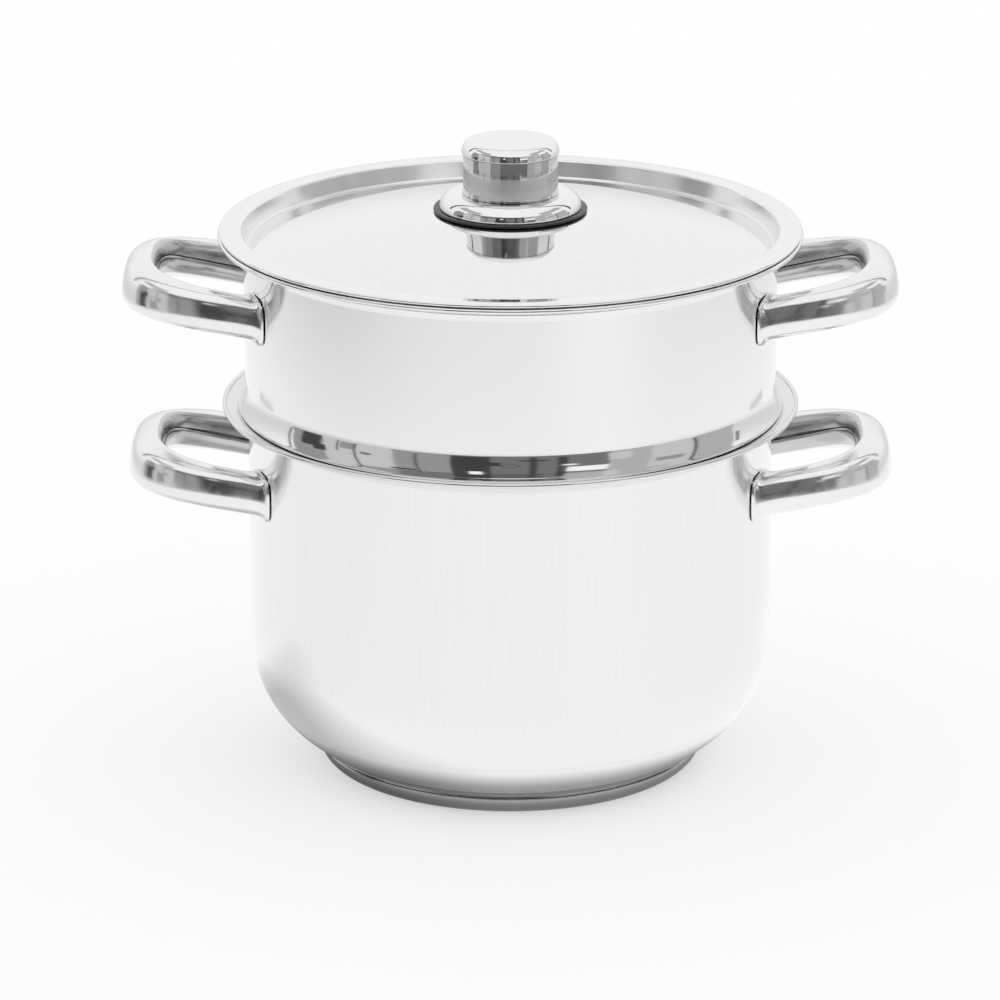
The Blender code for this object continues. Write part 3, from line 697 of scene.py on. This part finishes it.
def lid_top_face():
    flange_inner = lid_high.x - LID_FLANGE_WIDTH
    tangent = LID_BEND_RADIUS * math.tan((math.pi / 2 - LID_WALL_DRAFT) / 2)
    upper_centre = (flange_inner + tangent, LID_TOP - LID_BEND_RADIUS)
    upper = arc(upper_centre, LID_BEND_RADIUS, math.pi - LID_WALL_DRAFT, math.pi / 2, LID_BEND_STEP)
    valley = LID_TOP - LID_RECESS_DEPTH
    drop = upper[0][1] - (valley + LID_BEND_RADIUS * (1 - math.sin(LID_WALL_DRAFT)))
    foot = (upper[0][0] - drop * math.tan(LID_WALL_DRAFT), upper[0][1] - drop)
    lower_centre = (
        foot[0] - LID_BEND_RADIUS * math.cos(LID_WALL_DRAFT),
        foot[1] + LID_BEND_RADIUS * math.sin(LID_WALL_DRAFT),
    )
    slope = math.asin(lower_centre[0] / (LID_DOME_RADIUS + LID_BEND_RADIUS))
    lower = arc(lower_centre, LID_BEND_RADIUS, -math.pi / 2 - slope, -LID_WALL_DRAFT, LID_BEND_STEP)
    dome_centre = lower_centre[1] - (LID_DOME_RADIUS + LID_BEND_RADIUS) * math.cos(slope)
    start = math.pi / 2 - math.asin(SCREW_HOLE_RADIUS / LID_DOME_RADIUS)
    dome = arc((0.0, dome_centre), LID_DOME_RADIUS, start, math.pi / 2 - slope, DOME_STEP)
    return dome + lower[1:] + upper, dome_centre


def dome_height(radius):
    return lid_top_face()[1] + math.sqrt(LID_DOME_RADIUS ** 2 - radius ** 2)


def make_lid(surface):
    top, _ = lid_top_face()
    hem_radius = LID_HEM_THICKNESS / 2
    hem_centre = (lid_high.x - hem_radius, LID_TOP - hem_radius)
    hem = arc(hem_centre, hem_radius, math.pi / 2, -math.pi / 2, ROLL_STEP)
    hem_inner = lid_high.x - LID_HEM_WIDTH
    under = left_offset(top, -SHEET)
    flange = [(hem_inner, LID_TOP - LID_HEM_THICKNESS), (hem_inner, LID_TOP - SHEET)]
    return turned("lid_body", top + hem + flange + under[::-1], surface, closed=True)


# Knob

def make_ring(surface):
    low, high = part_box("knob_insulating_ring")
    edge = (high.z - low.z) / 2
    centre = (RING_OUTER_RADIUS - edge, low.z + edge)
    outline = [(RING_INNER_RADIUS, high.z)] + arc(centre, edge, math.pi / 2, -math.pi / 2, ROLL_STEP)
    outline.append((RING_INNER_RADIUS, dome_height(RING_INNER_RADIUS) + SEAT_GAP))
    return turned("insulating_ring", outline, surface, KNOB_SEGMENTS, closed=True)


def make_dish(surface):
    """Flat floor under the sleeve and a round bulge down to the edge on the ring."""
    low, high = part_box("knob_dish")
    centre = (high.x - DISH_BULGE, low.z)
    faces = []
    for sheet in (0.0, DISH_SHEET):
        bulge = DISH_BULGE - sheet
        rise = DISH_BULGE - DISH_FLOOR_DROP - sheet
        start = math.pi - math.asin(rise / bulge)
        faces.append([(SCREW_HOLE_RADIUS, low.z + rise)] + arc(centre, bulge, start, 0.0, DISH_STEP))
    outer, inner = faces
    return turned("knob_dish_skin", outer + inner[::-1], surface, KNOB_SEGMENTS, closed=True)


def make_sleeve(surface):
    _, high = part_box("knob_sleeve")
    radius = high.x - KNOB_LIP
    inner = radius - KNOB_SLEEVE_WALL
    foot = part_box("knob_dish")[1].z - DISH_FLOOR_DROP + CLOSED_SEAM
    outline = [(inner, high.z), (radius, high.z), (radius, foot + 2 * KNOB_LIP_HEIGHT)]
    outline += arc((radius, foot + KNOB_LIP_HEIGHT), KNOB_LIP, math.pi / 2, 0.0, ROLL_STEP)
    outline += [(high.x, foot), (inner, foot)]
    return turned("knob_sleeve_skin", outline, surface, KNOB_SEGMENTS, closed=True)


def make_cap(surface):
    low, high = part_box("knob_cap")
    _, sleeve_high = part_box("knob_sleeve")
    foot = sleeve_high.z + SEAT_GAP
    edge_start = high.x - KNOB_CAP_EDGE_REACH
    skirt_outer = sleeve_high.x - KNOB_LIP - KNOB_SLEEVE_WALL - SEAT_GAP
    skirt_inner = skirt_outer - KNOB_CAP_SHEET
    crown = []
    for step in range(CROWN_STEPS):
        share = step / CROWN_STEPS
        crown.append((edge_start * share, high.z - KNOB_CAP_CROWN * share ** 2))
    edges = []
    for sheet, end in ((0.0, KNOB_CAP_FOOT_ROUND), (KNOB_CAP_SHEET, KNOB_CAP_SHEET)):
        reach = KNOB_CAP_EDGE_REACH - sheet
        height = high.z - foot - KNOB_CAP_CROWN - sheet
        edge = arc((0.0, 0.0), 1.0, math.pi / 2, math.asin(end / height))
        edges.append([(edge_start + reach * across, foot + height * up) for across, up in edge])
    outer, inner = edges
    round_centre = (outer[-1][0] - KNOB_CAP_FOOT_ROUND, outer[-1][1])
    outer += arc(round_centre, KNOB_CAP_FOOT_ROUND, 0.0, -math.pi / 2, ROLL_STEP)[1:]
    outline = crown + outer + [(skirt_outer, foot), (skirt_outer, low.z), (skirt_inner, low.z)]
    outline += [(skirt_inner, foot + KNOB_CAP_SHEET)] + inner[::-1]
    outline += [(radius, height - KNOB_CAP_SHEET) for radius, height in crown[::-1]]
    return turned("knob_cap_skin", outline, surface, KNOB_SEGMENTS)


# Handles

def smoothstep(value, low, high):
    share = min(max((value - low) / (high - low), 0.0), 1.0)
    return share * share * (3 - 2 * share)


def loop_point(angle, reach):
    """Point of the loop in its own plane: (out from the root line, along the wall)."""
    out = reach * abs(math.cos(angle)) ** HANDLE_POWER
    along = HANDLE_HALF_SPREAD * math.copysign(abs(math.sin(angle)) ** HANDLE_POWER, math.sin(angle))
    return Vector((out, along))


def loop_stations(reach, first_out, foot_steps):
    """Centres from the middle of one foot round to the other: straight out first, then round the loop."""
    leg = []
    for step in foot_steps:
        out = first_out + step
        if out <= 0.0:
            leg.append(Vector((out, -HANDLE_HALF_SPREAD)))
        else:
            leg.append(loop_point(-math.acos((out / reach) ** (1 / HANDLE_POWER)), reach))
    last_out = first_out + foot_steps[-1]
    start = -math.acos((last_out / reach) ** (1 / HANDLE_POWER))
    fine = []
    for index in range(HANDLE_LINE_SAMPLES + 1):
        fine.append(loop_point(start * (1 - 2 * index / HANDLE_LINE_SAMPLES), reach))
    lengths = [0.0]
    for before, after in zip(fine, fine[1:]):
        lengths.append(lengths[-1] + (after - before).length)
    loop = []
    index = 0
    for station in range(1, HANDLE_LOOP_STATIONS):
        target = lengths[-1] * station / HANDLE_LOOP_STATIONS
        while lengths[index + 1] < target:
            index += 1
        share = (target - lengths[index]) / (lengths[index + 1] - lengths[index])
        loop.append(fine[index].lerp(fine[index + 1], share))
    back = [Vector((point.x, -point.y)) for point in leg[::-1]]
    return leg + loop + back


def tube_section(width, height, foot, seam):
    """Outline of the folded sheet, starting at the seam on the inner side, as (inward, up) points.

    The upper half is squarer, lower and narrower; foot is one at the wall, where both are alike.
    """
    half_width = width / 2
    low_roundness = HANDLE_ROUNDNESS + foot * (HANDLE_FOOT_ROUNDNESS - HANDLE_ROUNDNESS)
    top_roundness = HANDLE_TOP_ROUNDNESS + foot * (HANDLE_FOOT_ROUNDNESS - HANDLE_TOP_ROUNDNESS)
    top_share = HANDLE_TOP_SHARE + foot * (1 - HANDLE_TOP_SHARE)
    start = (seam / 2 + HANDLE_FOLD) / (height / 2)
    turn_angle = (math.tau - 2 * start) / (HANDLE_SECTION_POINTS - 1)
    outer, inner = [], []
    for index in range(HANDLE_SECTION_POINTS):
        angle = start + index * turn_angle
        above = math.sin(angle) > 0
        power = 2 / (top_roundness if above else low_roundness)
        half_height = height / 2 * (top_share if above else 1.0)
        across = math.copysign(abs(math.cos(angle)) ** power, math.cos(angle))
        up = math.copysign(abs(math.sin(angle)) ** power, math.sin(angle))
        across *= 1 - HANDLE_TAPER * (1 - foot) * up
        for points, inset in ((outer, 0.0), (inner, HANDLE_WALL)):
            points.append(Vector(((half_width - inset) * across, (half_height - inset) * up)))
    corner = HANDLE_FOLD * HANDLE_FOLD_CORNER
    lip = [
        Vector((half_width - HANDLE_WALL, seam / 2)),
        Vector((half_width - HANDLE_FOLD, seam / 2)),
        Vector((half_width - corner, seam / 2 + corner)),
    ]
    other_lip = [Vector((point.x, -point.y)) for point in lip[::-1]]
    return lip + outer + other_lip + inner[::-1]


def foot_share(distance):
    """One from the wall to the end of the foot's flat edge, falling to nought at the neck."""
    share = (distance - HANDLE_FOOT_EDGE) / (HANDLE_NECK - HANDLE_FOOT_EDGE)
    return 1 - min(max(share, 0.0), 1.0)


def handle_rings(wall_radius, root_height, seam):
    root = wall_radius - HANDLE_ROOT_INSET
    reach = HANDLE_REACH + HANDLE_ROOT_INSET - HANDLE_WIDTH / 2
    contact = wall_radius + HANDLE_FOOT_GAP
    foot_x = math.sqrt(contact ** 2 - HANDLE_HALF_SPREAD ** 2)
    foot_steps = [HANDLE_NECK * (step / FOOT_STEPS) ** FOOT_STEP_POWER for step in range(FOOT_STEPS + 1)]
    centres = loop_stations(reach, foot_x - root, foot_steps)
    last = len(centres) - 1
    lengths = [0.0]
    for before, after in zip(centres, centres[1:]):
        lengths.append(lengths[-1] + (after - before).length)
    rings = []
    for index, place in enumerate(centres):
        heading = (centres[min(index + 1, last)] - centres[max(index - 1, 0)]).normalized()
        inward = Vector((-heading.y, heading.x))
        distance = min(lengths[index], lengths[-1] - lengths[index])
        wide = foot_share(distance) ** HANDLE_WIDTH_FLARE
        tall = foot_share(distance) ** HANDLE_HEIGHT_FLARE
        width = HANDLE_WIDTH + wide * (HANDLE_FOOT_WIDTH - HANDLE_WIDTH)
        height = HANDLE_HEIGHT + tall * (HANDLE_FOOT_HEIGHT - HANDLE_HEIGHT)
        open_share = 1 - smoothstep(distance / lengths[-1], *HANDLE_SEAM_CLOSES)
        gap = CLOSED_SEAM + (seam - CLOSED_SEAM) * open_share
        plane_share = smoothstep(distance, *HANDLE_WALL_FADE)
        ring = []
        for point in tube_section(width, height, tall, gap):
            flat = place + inward * (point.x + HANDLE_FOOT_SHIFT * wide)
            on_wall = math.sqrt(contact ** 2 - flat.y ** 2) + (root + place.x - foot_x)
            x = on_wall + (root + flat.x - on_wall) * plane_share
            lean = HANDLE_LEAN * (place.x - flat.x)
            rise = math.tan(HANDLE_TILT) * (place.x + (x - root - place.x) * (1 - plane_share)) + lean
            ring.append(Vector((x, flat.y, root_height + rise + point.y - HANDLE_FOOT_DROP * tall)))
        rings.append(ring)
    return rings


def make_handle(name, side, wall_radius, root_height, seam, surface, inside):
    """A folded tube bent into a loop, with a second surface on its inner side."""
    shape = bmesh.new()
    rows = []
    for ring in handle_rings(wall_radius, root_height, seam):
        rows.append([shape.verts.new(point) for point in ring])
    for first, second in zip(rows, rows[1:]):
        bridge(shape, first, second)
    end = HANDLE_SECTION_POINTS + 2 * HANDLE_FOLD_POINTS
    for row in (rows[0], rows[-1]):
        outer = row[HANDLE_FOLD_POINTS:end - HANDLE_FOLD_POINTS]
        inner = row[end:][::-1]
        for index in range(HANDLE_SECTION_POINTS - 1):
            shape.faces.new((outer[index], outer[index + 1], inner[index + 1], inner[index]))
        shape.faces.new((*row[:HANDLE_FOLD_POINTS], outer[0], inner[0]))
        shape.faces.new((row[end - 1], inner[-1], outer[-1], *row[end - HANDLE_FOLD_POINTS:end - 1]))
    shape.verts.index_update()
    inner_side = set(range(HANDLE_INSIDE)) | set(range(end - HANDLE_INSIDE, end))
    for face in shape.faces:
        places = {point.index % len(rows[0]) for point in face.verts}
        if places <= inner_side:
            face.material_index = 1
    if side < 0:
        bmesh.ops.rotate(shape, verts=shape.verts, cent=(0, 0, 0), matrix=Matrix.Rotation(math.pi, 3, "Z"))
    made = new_object(name, mesh_from(name, shape), surface)
    made.data.materials.append(inside)
    return made


# Studio

def glowing(name, level):
    """A surface of a fixed brightness, for the parts of the room that the steel mirrors."""
    made = bpy.data.materials.new(name)
    made.use_nodes = True
    tree = made.node_tree
    tree.nodes.clear()
    light = tree.nodes.new("ShaderNodeEmission")
    light.inputs["Color"].default_value = (level, level, level, 1.0)
    out = tree.nodes.new("ShaderNodeOutputMaterial")
    tree.links.new(light.outputs["Emission"], out.inputs["Surface"])
    made.cycles.emission_sampling = "NONE"
    return made


def glow_by(surface, value):
    """Let a value set the brightness of a glowing surface from place to place."""
    surface.node_tree.links.new(value, surface.node_tree.nodes["Emission"].inputs["Strength"])


def around(azimuth, radius, height):
    """A point of the room. Azimuth is in degrees, 0 towards the camera and 90 to the right."""
    angle = math.radians(azimuth)
    return (radius * math.sin(angle), -radius * math.cos(angle), height)


def behind_scenes(made):
    """Only mirrored: the camera and the light on the table pass it by."""
    made.visible_camera = False
    made.visible_diffuse = False


def screen(name, start, end, profile, surface):
    """A strip of the room between two azimuths, its section a list of (radius, height) points."""
    steps = max(math.ceil((end - start) / SCREEN_STEP), 1)
    points, faces = [], []
    width = len(profile)
    for step in range(steps + 1):
        azimuth = start + (end - start) * step / steps
        points += [around(azimuth, radius, height) for radius, height in profile]
    for step in range(steps):
        for index in range(width - 1):
            corner = step * width + index
            faces.append((corner, corner + 1, corner + 1 + width, corner + width))
    mesh = bpy.data.meshes.new(name)
    mesh.from_pydata(points, [], faces)
    behind_scenes(new_object(name, mesh, surface))


def fading(name, low_level, high_level, top):
    """A surface whose brightness rises with its height."""
    made = glowing(name, 1.0)
    tree = made.node_tree
    place = tree.nodes.new("ShaderNodeTexCoord")
    parts = tree.nodes.new("ShaderNodeSeparateXYZ")
    tree.links.new(place.outputs["Object"], parts.inputs["Vector"])
    spread = tree.nodes.new("ShaderNodeMapRange")
    spread.interpolation_type = "SMOOTHSTEP"
    for socket, number in (("From Max", top), ("To Min", low_level), ("To Max", high_level)):
        spread.inputs[socket].default_value = number
    tree.links.new(parts.outputs["Z"], spread.inputs["Value"])
    glow_by(made, spread.outputs["Result"])
    return made


def make_hoop(surface):
    """A thin dark hoop over the pot, a little behind it."""
    shape = bmesh.new()
    rows = []
    for index in range(HOOP_STEPS + 1):
        angle = HOOP_START + (math.pi - 2 * HOOP_START) * index / HOOP_STEPS
        across = HOOP_RADIUS * math.cos(angle)
        height = HOOP_CENTRE_HEIGHT + HOOP_RADIUS * math.sin(angle)
        rows.append([shape.verts.new((across, HOOP_BACK + extra, height)) for extra in (0.0, HOOP_WIDTH)])
    for first, second in zip(rows, rows[1:]):
        shape.faces.new((first[0], first[1], second[1], second[0]))
    behind_scenes(new_object("hoop", mesh_from("hoop", shape), surface))


def mirrored_level(azimuth, radius):
    """Brightness of the mirrored table: the pot's shadow, a longer one to the left, and the far part."""
    x, y, _ = around(azimuth, radius, 0.0)
    contact = SHADE_LEVEL + (1 - SHADE_LEVEL) * smoothstep(radius, SHADE_CORE, SHADE_EDGE)
    spread = math.hypot(x / SHADE_REACH_LEFT, y / SHADE_REACH_FRONT)
    side = min(max(spread, SHADE_LEFT_LEVEL), 1.0)
    left = 1 - (1 - side) * smoothstep(-x, 0.0, SHADE_LEFT_START)
    # The far part's drop is painted shade, deepest to the left; the rise to the right is a painted pool of
    # light under the window.
    drop = FAR_DROP + FAR_LEFT_DROP * math.exp(-((azimuth - FAR_LEFT_AZIMUTH) / FAR_LEFT_WIDTH) ** 2)
    drop -= FAR_RIGHT_RISE * math.exp(-((azimuth - FAR_RIGHT_AZIMUTH) / FAR_RIGHT_WIDTH) ** 2)
    share = NEAR_SHARE * smoothstep(radius, SHADE_EDGE, SHADE_REACH_LEFT)
    share += (1 - NEAR_SHARE) * smoothstep(radius, FAR_START, FAR_END)
    return MIRRORED_LEVEL * contact * left * (1 - drop * share)


def make_mirrored_table():
    """The table as the steel mirrors it, its brightness kept on the points of the mesh."""
    shape = bmesh.new()
    layer = shape.verts.layers.float_color.new("brightness")
    rows = []
    for ring in range(TABLE_RINGS + 1):
        radius = MIRRORED_INNER * (TABLE_RADIUS / MIRRORED_INNER) ** (ring / TABLE_RINGS)
        row = []
        for spoke in range(TABLE_SPOKES):
            azimuth = 360 * spoke / TABLE_SPOKES - 180
            point = shape.verts.new(around(azimuth, radius, MIRRORED_HEIGHT))
            level = mirrored_level(azimuth, radius)
            point[layer] = (level, level, level, 1.0)
            row.append(point)
        rows.append(row)
    for first, second in zip(rows, rows[1:]):
        bridge(shape, first, second)
    surface = glowing("table_mirrored", 1.0)
    brightness = surface.node_tree.nodes.new("ShaderNodeAttribute")
    brightness.attribute_name = "brightness"
    glow_by(surface, brightness.outputs["Fac"])
    behind_scenes(new_object("table_mirrored", mesh_from("table_mirrored", shape), surface))


def matte(name, level, glow):
    made = Surface(name, (level, level, level), roughness=0.6, metallic=0.0)
    made.shader.inputs["Emission Color"].default_value = (1.0, 1.0, 1.0, 1.0)
    made.shader.inputs["Emission Strength"].default_value = glow
    made.shader.inputs["Specular IOR Level"].default_value = 0.0
    made.material.cycles.emission_sampling = "NONE"
    return made.material


def make_floor():
    """The white table and the floor round it, seen by the camera alone."""
    white = matte("table_white", TABLE_WHITE, TABLE_GLOW)
    for name, inner, outer in (("table", 0.0, TABLE_RADIUS), ("floor", TABLE_RADIUS, FLOOR_RADIUS)):
        made = turned(name, [(inner, 0.0), (outer, 0.0)], white)
        made.visible_glossy = False


def make_room(tones):
    """The unlit room: its walls, what stands above them, and dark and light things before them."""
    wall = [(TABLE_RADIUS + ROOM_GAP, 0.0), (ROOM_RADIUS, 0.0), (ROOM_RADIUS, ROOM_TOP)]
    for start, end, tone in (
        (-101, -83, "grey"), (-83, -65, "light"), (-65, -49, "light"), (-49, -38, "grey"),
        (-38, -24, "grey"), (-24, -8, "shade"), (-8, 11, "shade"), (11, 23, "shade"), (23, 41, "shade"),
        (41, 60, "pale"), (60, 81, "light"), (81, BACKDROP_START, "pale"),
    ):
        screen("wall_%d" % (start + 180), start, end, wall, tones[tone])
    crown = [(ROOM_RADIUS, ROOM_TOP), (ROOM_RADIUS, ROOM_CROWN)]
    for start, end, tone in (
        (-81, -69, "pale"), (-69, -49, "grey"), (-49, -24, "shade"), (-24, -14, "dark"), (-14, -10, "pale"),
        (-10, 14, "dusk"), (14, 23, "shade"), (23, 41, "pale"), (41, 48, "light"), (48, 78, "pale"),
    ):
        screen("crown_%d" % (start + 180), start, end, crown, tones[tone])
    for name, start, end, radius, bottom, top, tone in (
        ("side_left", -114, -58, 1.60, 1.42, 2.10, "pale"),
        ("side_right", 58, 114, 1.60, 1.42, 2.10, "pale"),
        ("edge_left", -102.5, -101, 1.3, 0.0, 0.7, "shade"),
        ("desk_left", -93.5, -82.5, 1.15, 0.0, 0.33, "dark"),
        ("chair_left", -87, -80, 1.20, 0.25, 0.43, "dark"),
        ("cupboard", -73, -66, 1.30, 0.0, 0.24, "grey"),
        ("post_1", -74.5, -73.5, 1.20, 0.0, 0.35, "dark"),
        ("post_2", -66.0, -64.8, 1.20, 0.0, 0.80, "dark"),
        ("lamp_left", -63, -58, 1.40, 0.27, 0.36, "shade"),
        ("shelf_left", -51, -40, 1.60, 0.86, 0.95, "dark"),
        ("post_3", -39.2, -38.0, 1.50, 0.0, 1.00, "dark"),
        ("figure", -24, -8, 1.30, 0.0, 1.10, "dark"),
        ("window_small", -17, -11.5, 1.29, 0.68, 0.84, "window"),
        ("tripod_head", -8, -4, 1.40, 0.24, 0.42, "dark"),
        ("stand", 7.7, 10.6, 1.40, 0.0, 1.10, "dark"),
        ("stand_bar", 3.5, 15, 1.41, 0.13, 0.19, "dark"),
        ("cabinet", 19, 23, 1.50, 0.0, 1.10, "dark"),
        ("window_spot", 21, 27, 1.49, 0.40, 0.47, "window"),
        ("window_wide", 23, 41, 2.10, 0.72, 1.10, "window"),
        ("panel_right", 40, 50, 1.50, 0.0, 0.34, "light"),
        ("shelf_right", 62, 76, 1.60, 0.55, 0.72, "grey"),
        ("post_4", 79.8, 81.5, 1.30, 0.0, 0.85, "dark"),
        ("edge_right", 105, 107.5, 1.40, 0.18, 0.45, "shade"),
    ):
        screen(name, start, end, [(radius, bottom), (radius, top)], tones[tone])
    for name, start, end in (("pad_left", -129, -115), ("pad_right", 117, 131)):
        screen(name, start, end, [(radius, PAD_HEIGHT) for radius in PAD_RADII], tones["light"])


def make_lens_ring(surface):
    """A small dark ring facing the pot from the camera's side."""
    shape = bmesh.new()
    centre = Vector(around(0.0, LENS_RING_AWAY, LENS_RING_HEIGHT))
    rows = []
    for radius in LENS_RING_RADII:
        row = []
        for index in range(LENS_RING_POINTS):
            angle = math.tau * index / LENS_RING_POINTS
            offset = Vector((math.cos(angle), 0.0, math.sin(angle))) * radius
            row.append(shape.verts.new(centre + offset))
        rows.append(row)
    bridge(shape, rows[0], rows[1])
    behind_scenes(new_object("lens_ring", mesh_from("lens_ring", shape), surface))


def make_backdrop():
    # The backdrop grows brighter with height; its darker foot is painted shade.
    surface = fading("backdrop", BACKDROP_LOW_LEVEL, BACKDROP_HIGH_LEVEL, BACKDROP_FADE)
    foot = [(TABLE_RADIUS + ROOM_GAP, 0.0), (BACKDROP_RADIUS, BACKDROP_FOOT)]
    screen("backdrop", BACKDROP_START, BACKDROP_END, foot + [(BACKDROP_RADIUS, BACKDROP_TOP)], surface)


def make_studio():
    world = bpy.data.worlds.new("studio")
    bpy.context.scene.world = world
    world.use_nodes = True
    world.node_tree.nodes["Background"].inputs["Color"].default_value = (1.0, 1.0, 1.0, 1.0)
    world.node_tree.nodes["Background"].inputs["Strength"].default_value = DAYLIGHT
    world.cycles.sampling_method = "NONE"
    make_floor()
    make_mirrored_table()
    tones = {name: glowing("room_" + name, level) for name, level in ROOM_TONES.items()}
    make_room(tones)
    make_lens_ring(tones["dark"])
    make_hoop(tones["dark"])
    make_backdrop()


def make_camera():
    data = bpy.data.cameras.new("camera")
    data.lens = CAMERA_LENS
    data.sensor_width = CAMERA_SENSOR
    data.shift_x = CAMERA_SHIFT
    camera = bpy.data.objects.new("camera", data)
    camera.location = (0.0, -CAMERA_BACK, CAMERA_HEIGHT)
    camera.rotation_euler = (math.pi / 2 - CAMERA_PITCH, 0.0, 0.0)
    bpy.context.scene.collection.objects.link(camera)
    bpy.context.scene.camera = camera


# The dressed model

def dress(piece, body, node):
    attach(piece, body)
    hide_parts(node)


def repaint(node, surface):
    """Give a CAD piece that keeps its shape a better material."""
    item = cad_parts[node]
    if item.material_slots:
        for place in item.material_slots:
            place.material = surface
    else:
        item.data.materials.append(surface)


def make_model():
    # The pot's lighter foot grey (0.94) is a painted highlight on its lower bend, and its darker rim grey
    # (0.76) a painted shade on the rim under the steamer.
    pot_steel = brushed_steel(
        "pot_steel", roughness=0.09, grain=0.00001, streak=0.015, foot=0.94, rim=0.76,
        low=0.0300, high=0.1648)
    steamer_steel = brushed_steel(
        "steamer_steel", roughness=0.07, grain=0.000002, streak=0.004, foot=0.85, rim=0.85,
        low=0.1835, high=0.2440)
    lid_wall = (lid_high.x - LID_WALL_START, lid_high.x - LID_FLANGE_WIDTH, LID_WALL_ROUGHNESS)
    lid_steel = polished_steel(
        "lid_steel", roughness=0.05, wave=0.00002, wave_scale=14.0, wall=lid_wall)
    knob_steel = polished_steel("knob_steel", roughness=0.04, wave=0.00001, wave_scale=60.0)
    sleeve_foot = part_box("knob_sleeve")[0].z
    satin = (sleeve_foot, sleeve_foot + SLEEVE_SATIN, SLEEVE_SATIN_ROUGHNESS)
    # shade=0.80 darkens the sleeve's greys: a painted shade for the dark things it mirrors.
    sleeve_steel = polished_steel(
        "sleeve_steel", roughness=0.05, wave=0.00001, wave_scale=60.0, satin=satin, shade=0.80)
    handle_steel = polished_steel("handle_steel", roughness=0.15, wave=0.00018, wave_scale=45.0)
    # shade=0.70 darkens the loops' inner side by the seam: a painted shade between the legs and the wall.
    handle_inside = polished_steel(
        "handle_inside_steel", roughness=0.20, wave=0.00040, wave_scale=60.0, shade=0.70)
    # The base's 0.50 grey is partly the satin base's own darker tone and partly painted shade, for the
    # shadowed table it mirrors under the pot.
    base_steel = turned_metal("base_steel", (0.50, 0.50, 0.50), roughness=0.26, depth=0.00001)
    fastener = turned_metal("fastener_steel", (0.62, 0.62, 0.62), roughness=0.32, depth=0.00001)
    aluminium = turned_metal("core_aluminium", (0.76, 0.77, 0.78), roughness=0.42, depth=0.00001)

    dress(make_pot(pot_steel), "pot", "pot_shell")
    dress(make_base(base_steel), "pot", "base_cap")
    dress(make_steamer(steamer_steel), "steamer", "steamer_shell")
    dress(make_lid(lid_steel), "lid", "lid_shell")
    dress(make_ring(black_plastic()), "lid", "knob_insulating_ring")
    dress(make_dish(knob_steel), "lid", "knob_dish")
    dress(make_sleeve(sleeve_steel), "lid", "knob_sleeve")
    dress(make_cap(knob_steel), "lid", "knob_cap")

    pot_loop = (POT_RADIUS, pot_high.z - POT_HANDLE_DROP, POT_SEAM)
    steamer_loop = (STEAMER_RADIUS, steamer_high.z - STEAMER_HANDLE_DROP, STEAMER_SEAM)
    for label, side in (("left", -1), ("right", 1)):
        for body, loop in (("pot", pot_loop), ("steamer", steamer_loop)):
            made = make_handle("%s_loop_%s" % (body, label), side, *loop, handle_steel, handle_inside)
            dress(made, body, "%s_handle_%s" % (body, label))

    repaint("base_core_disc", aluminium)
    for node in ("knob_bush", "lid_washer", "lid_screw"):
        repaint(node, fastener)


make_camera()
make_studio()
make_model()
bpy.context.scene.view_settings.view_transform = "Standard"
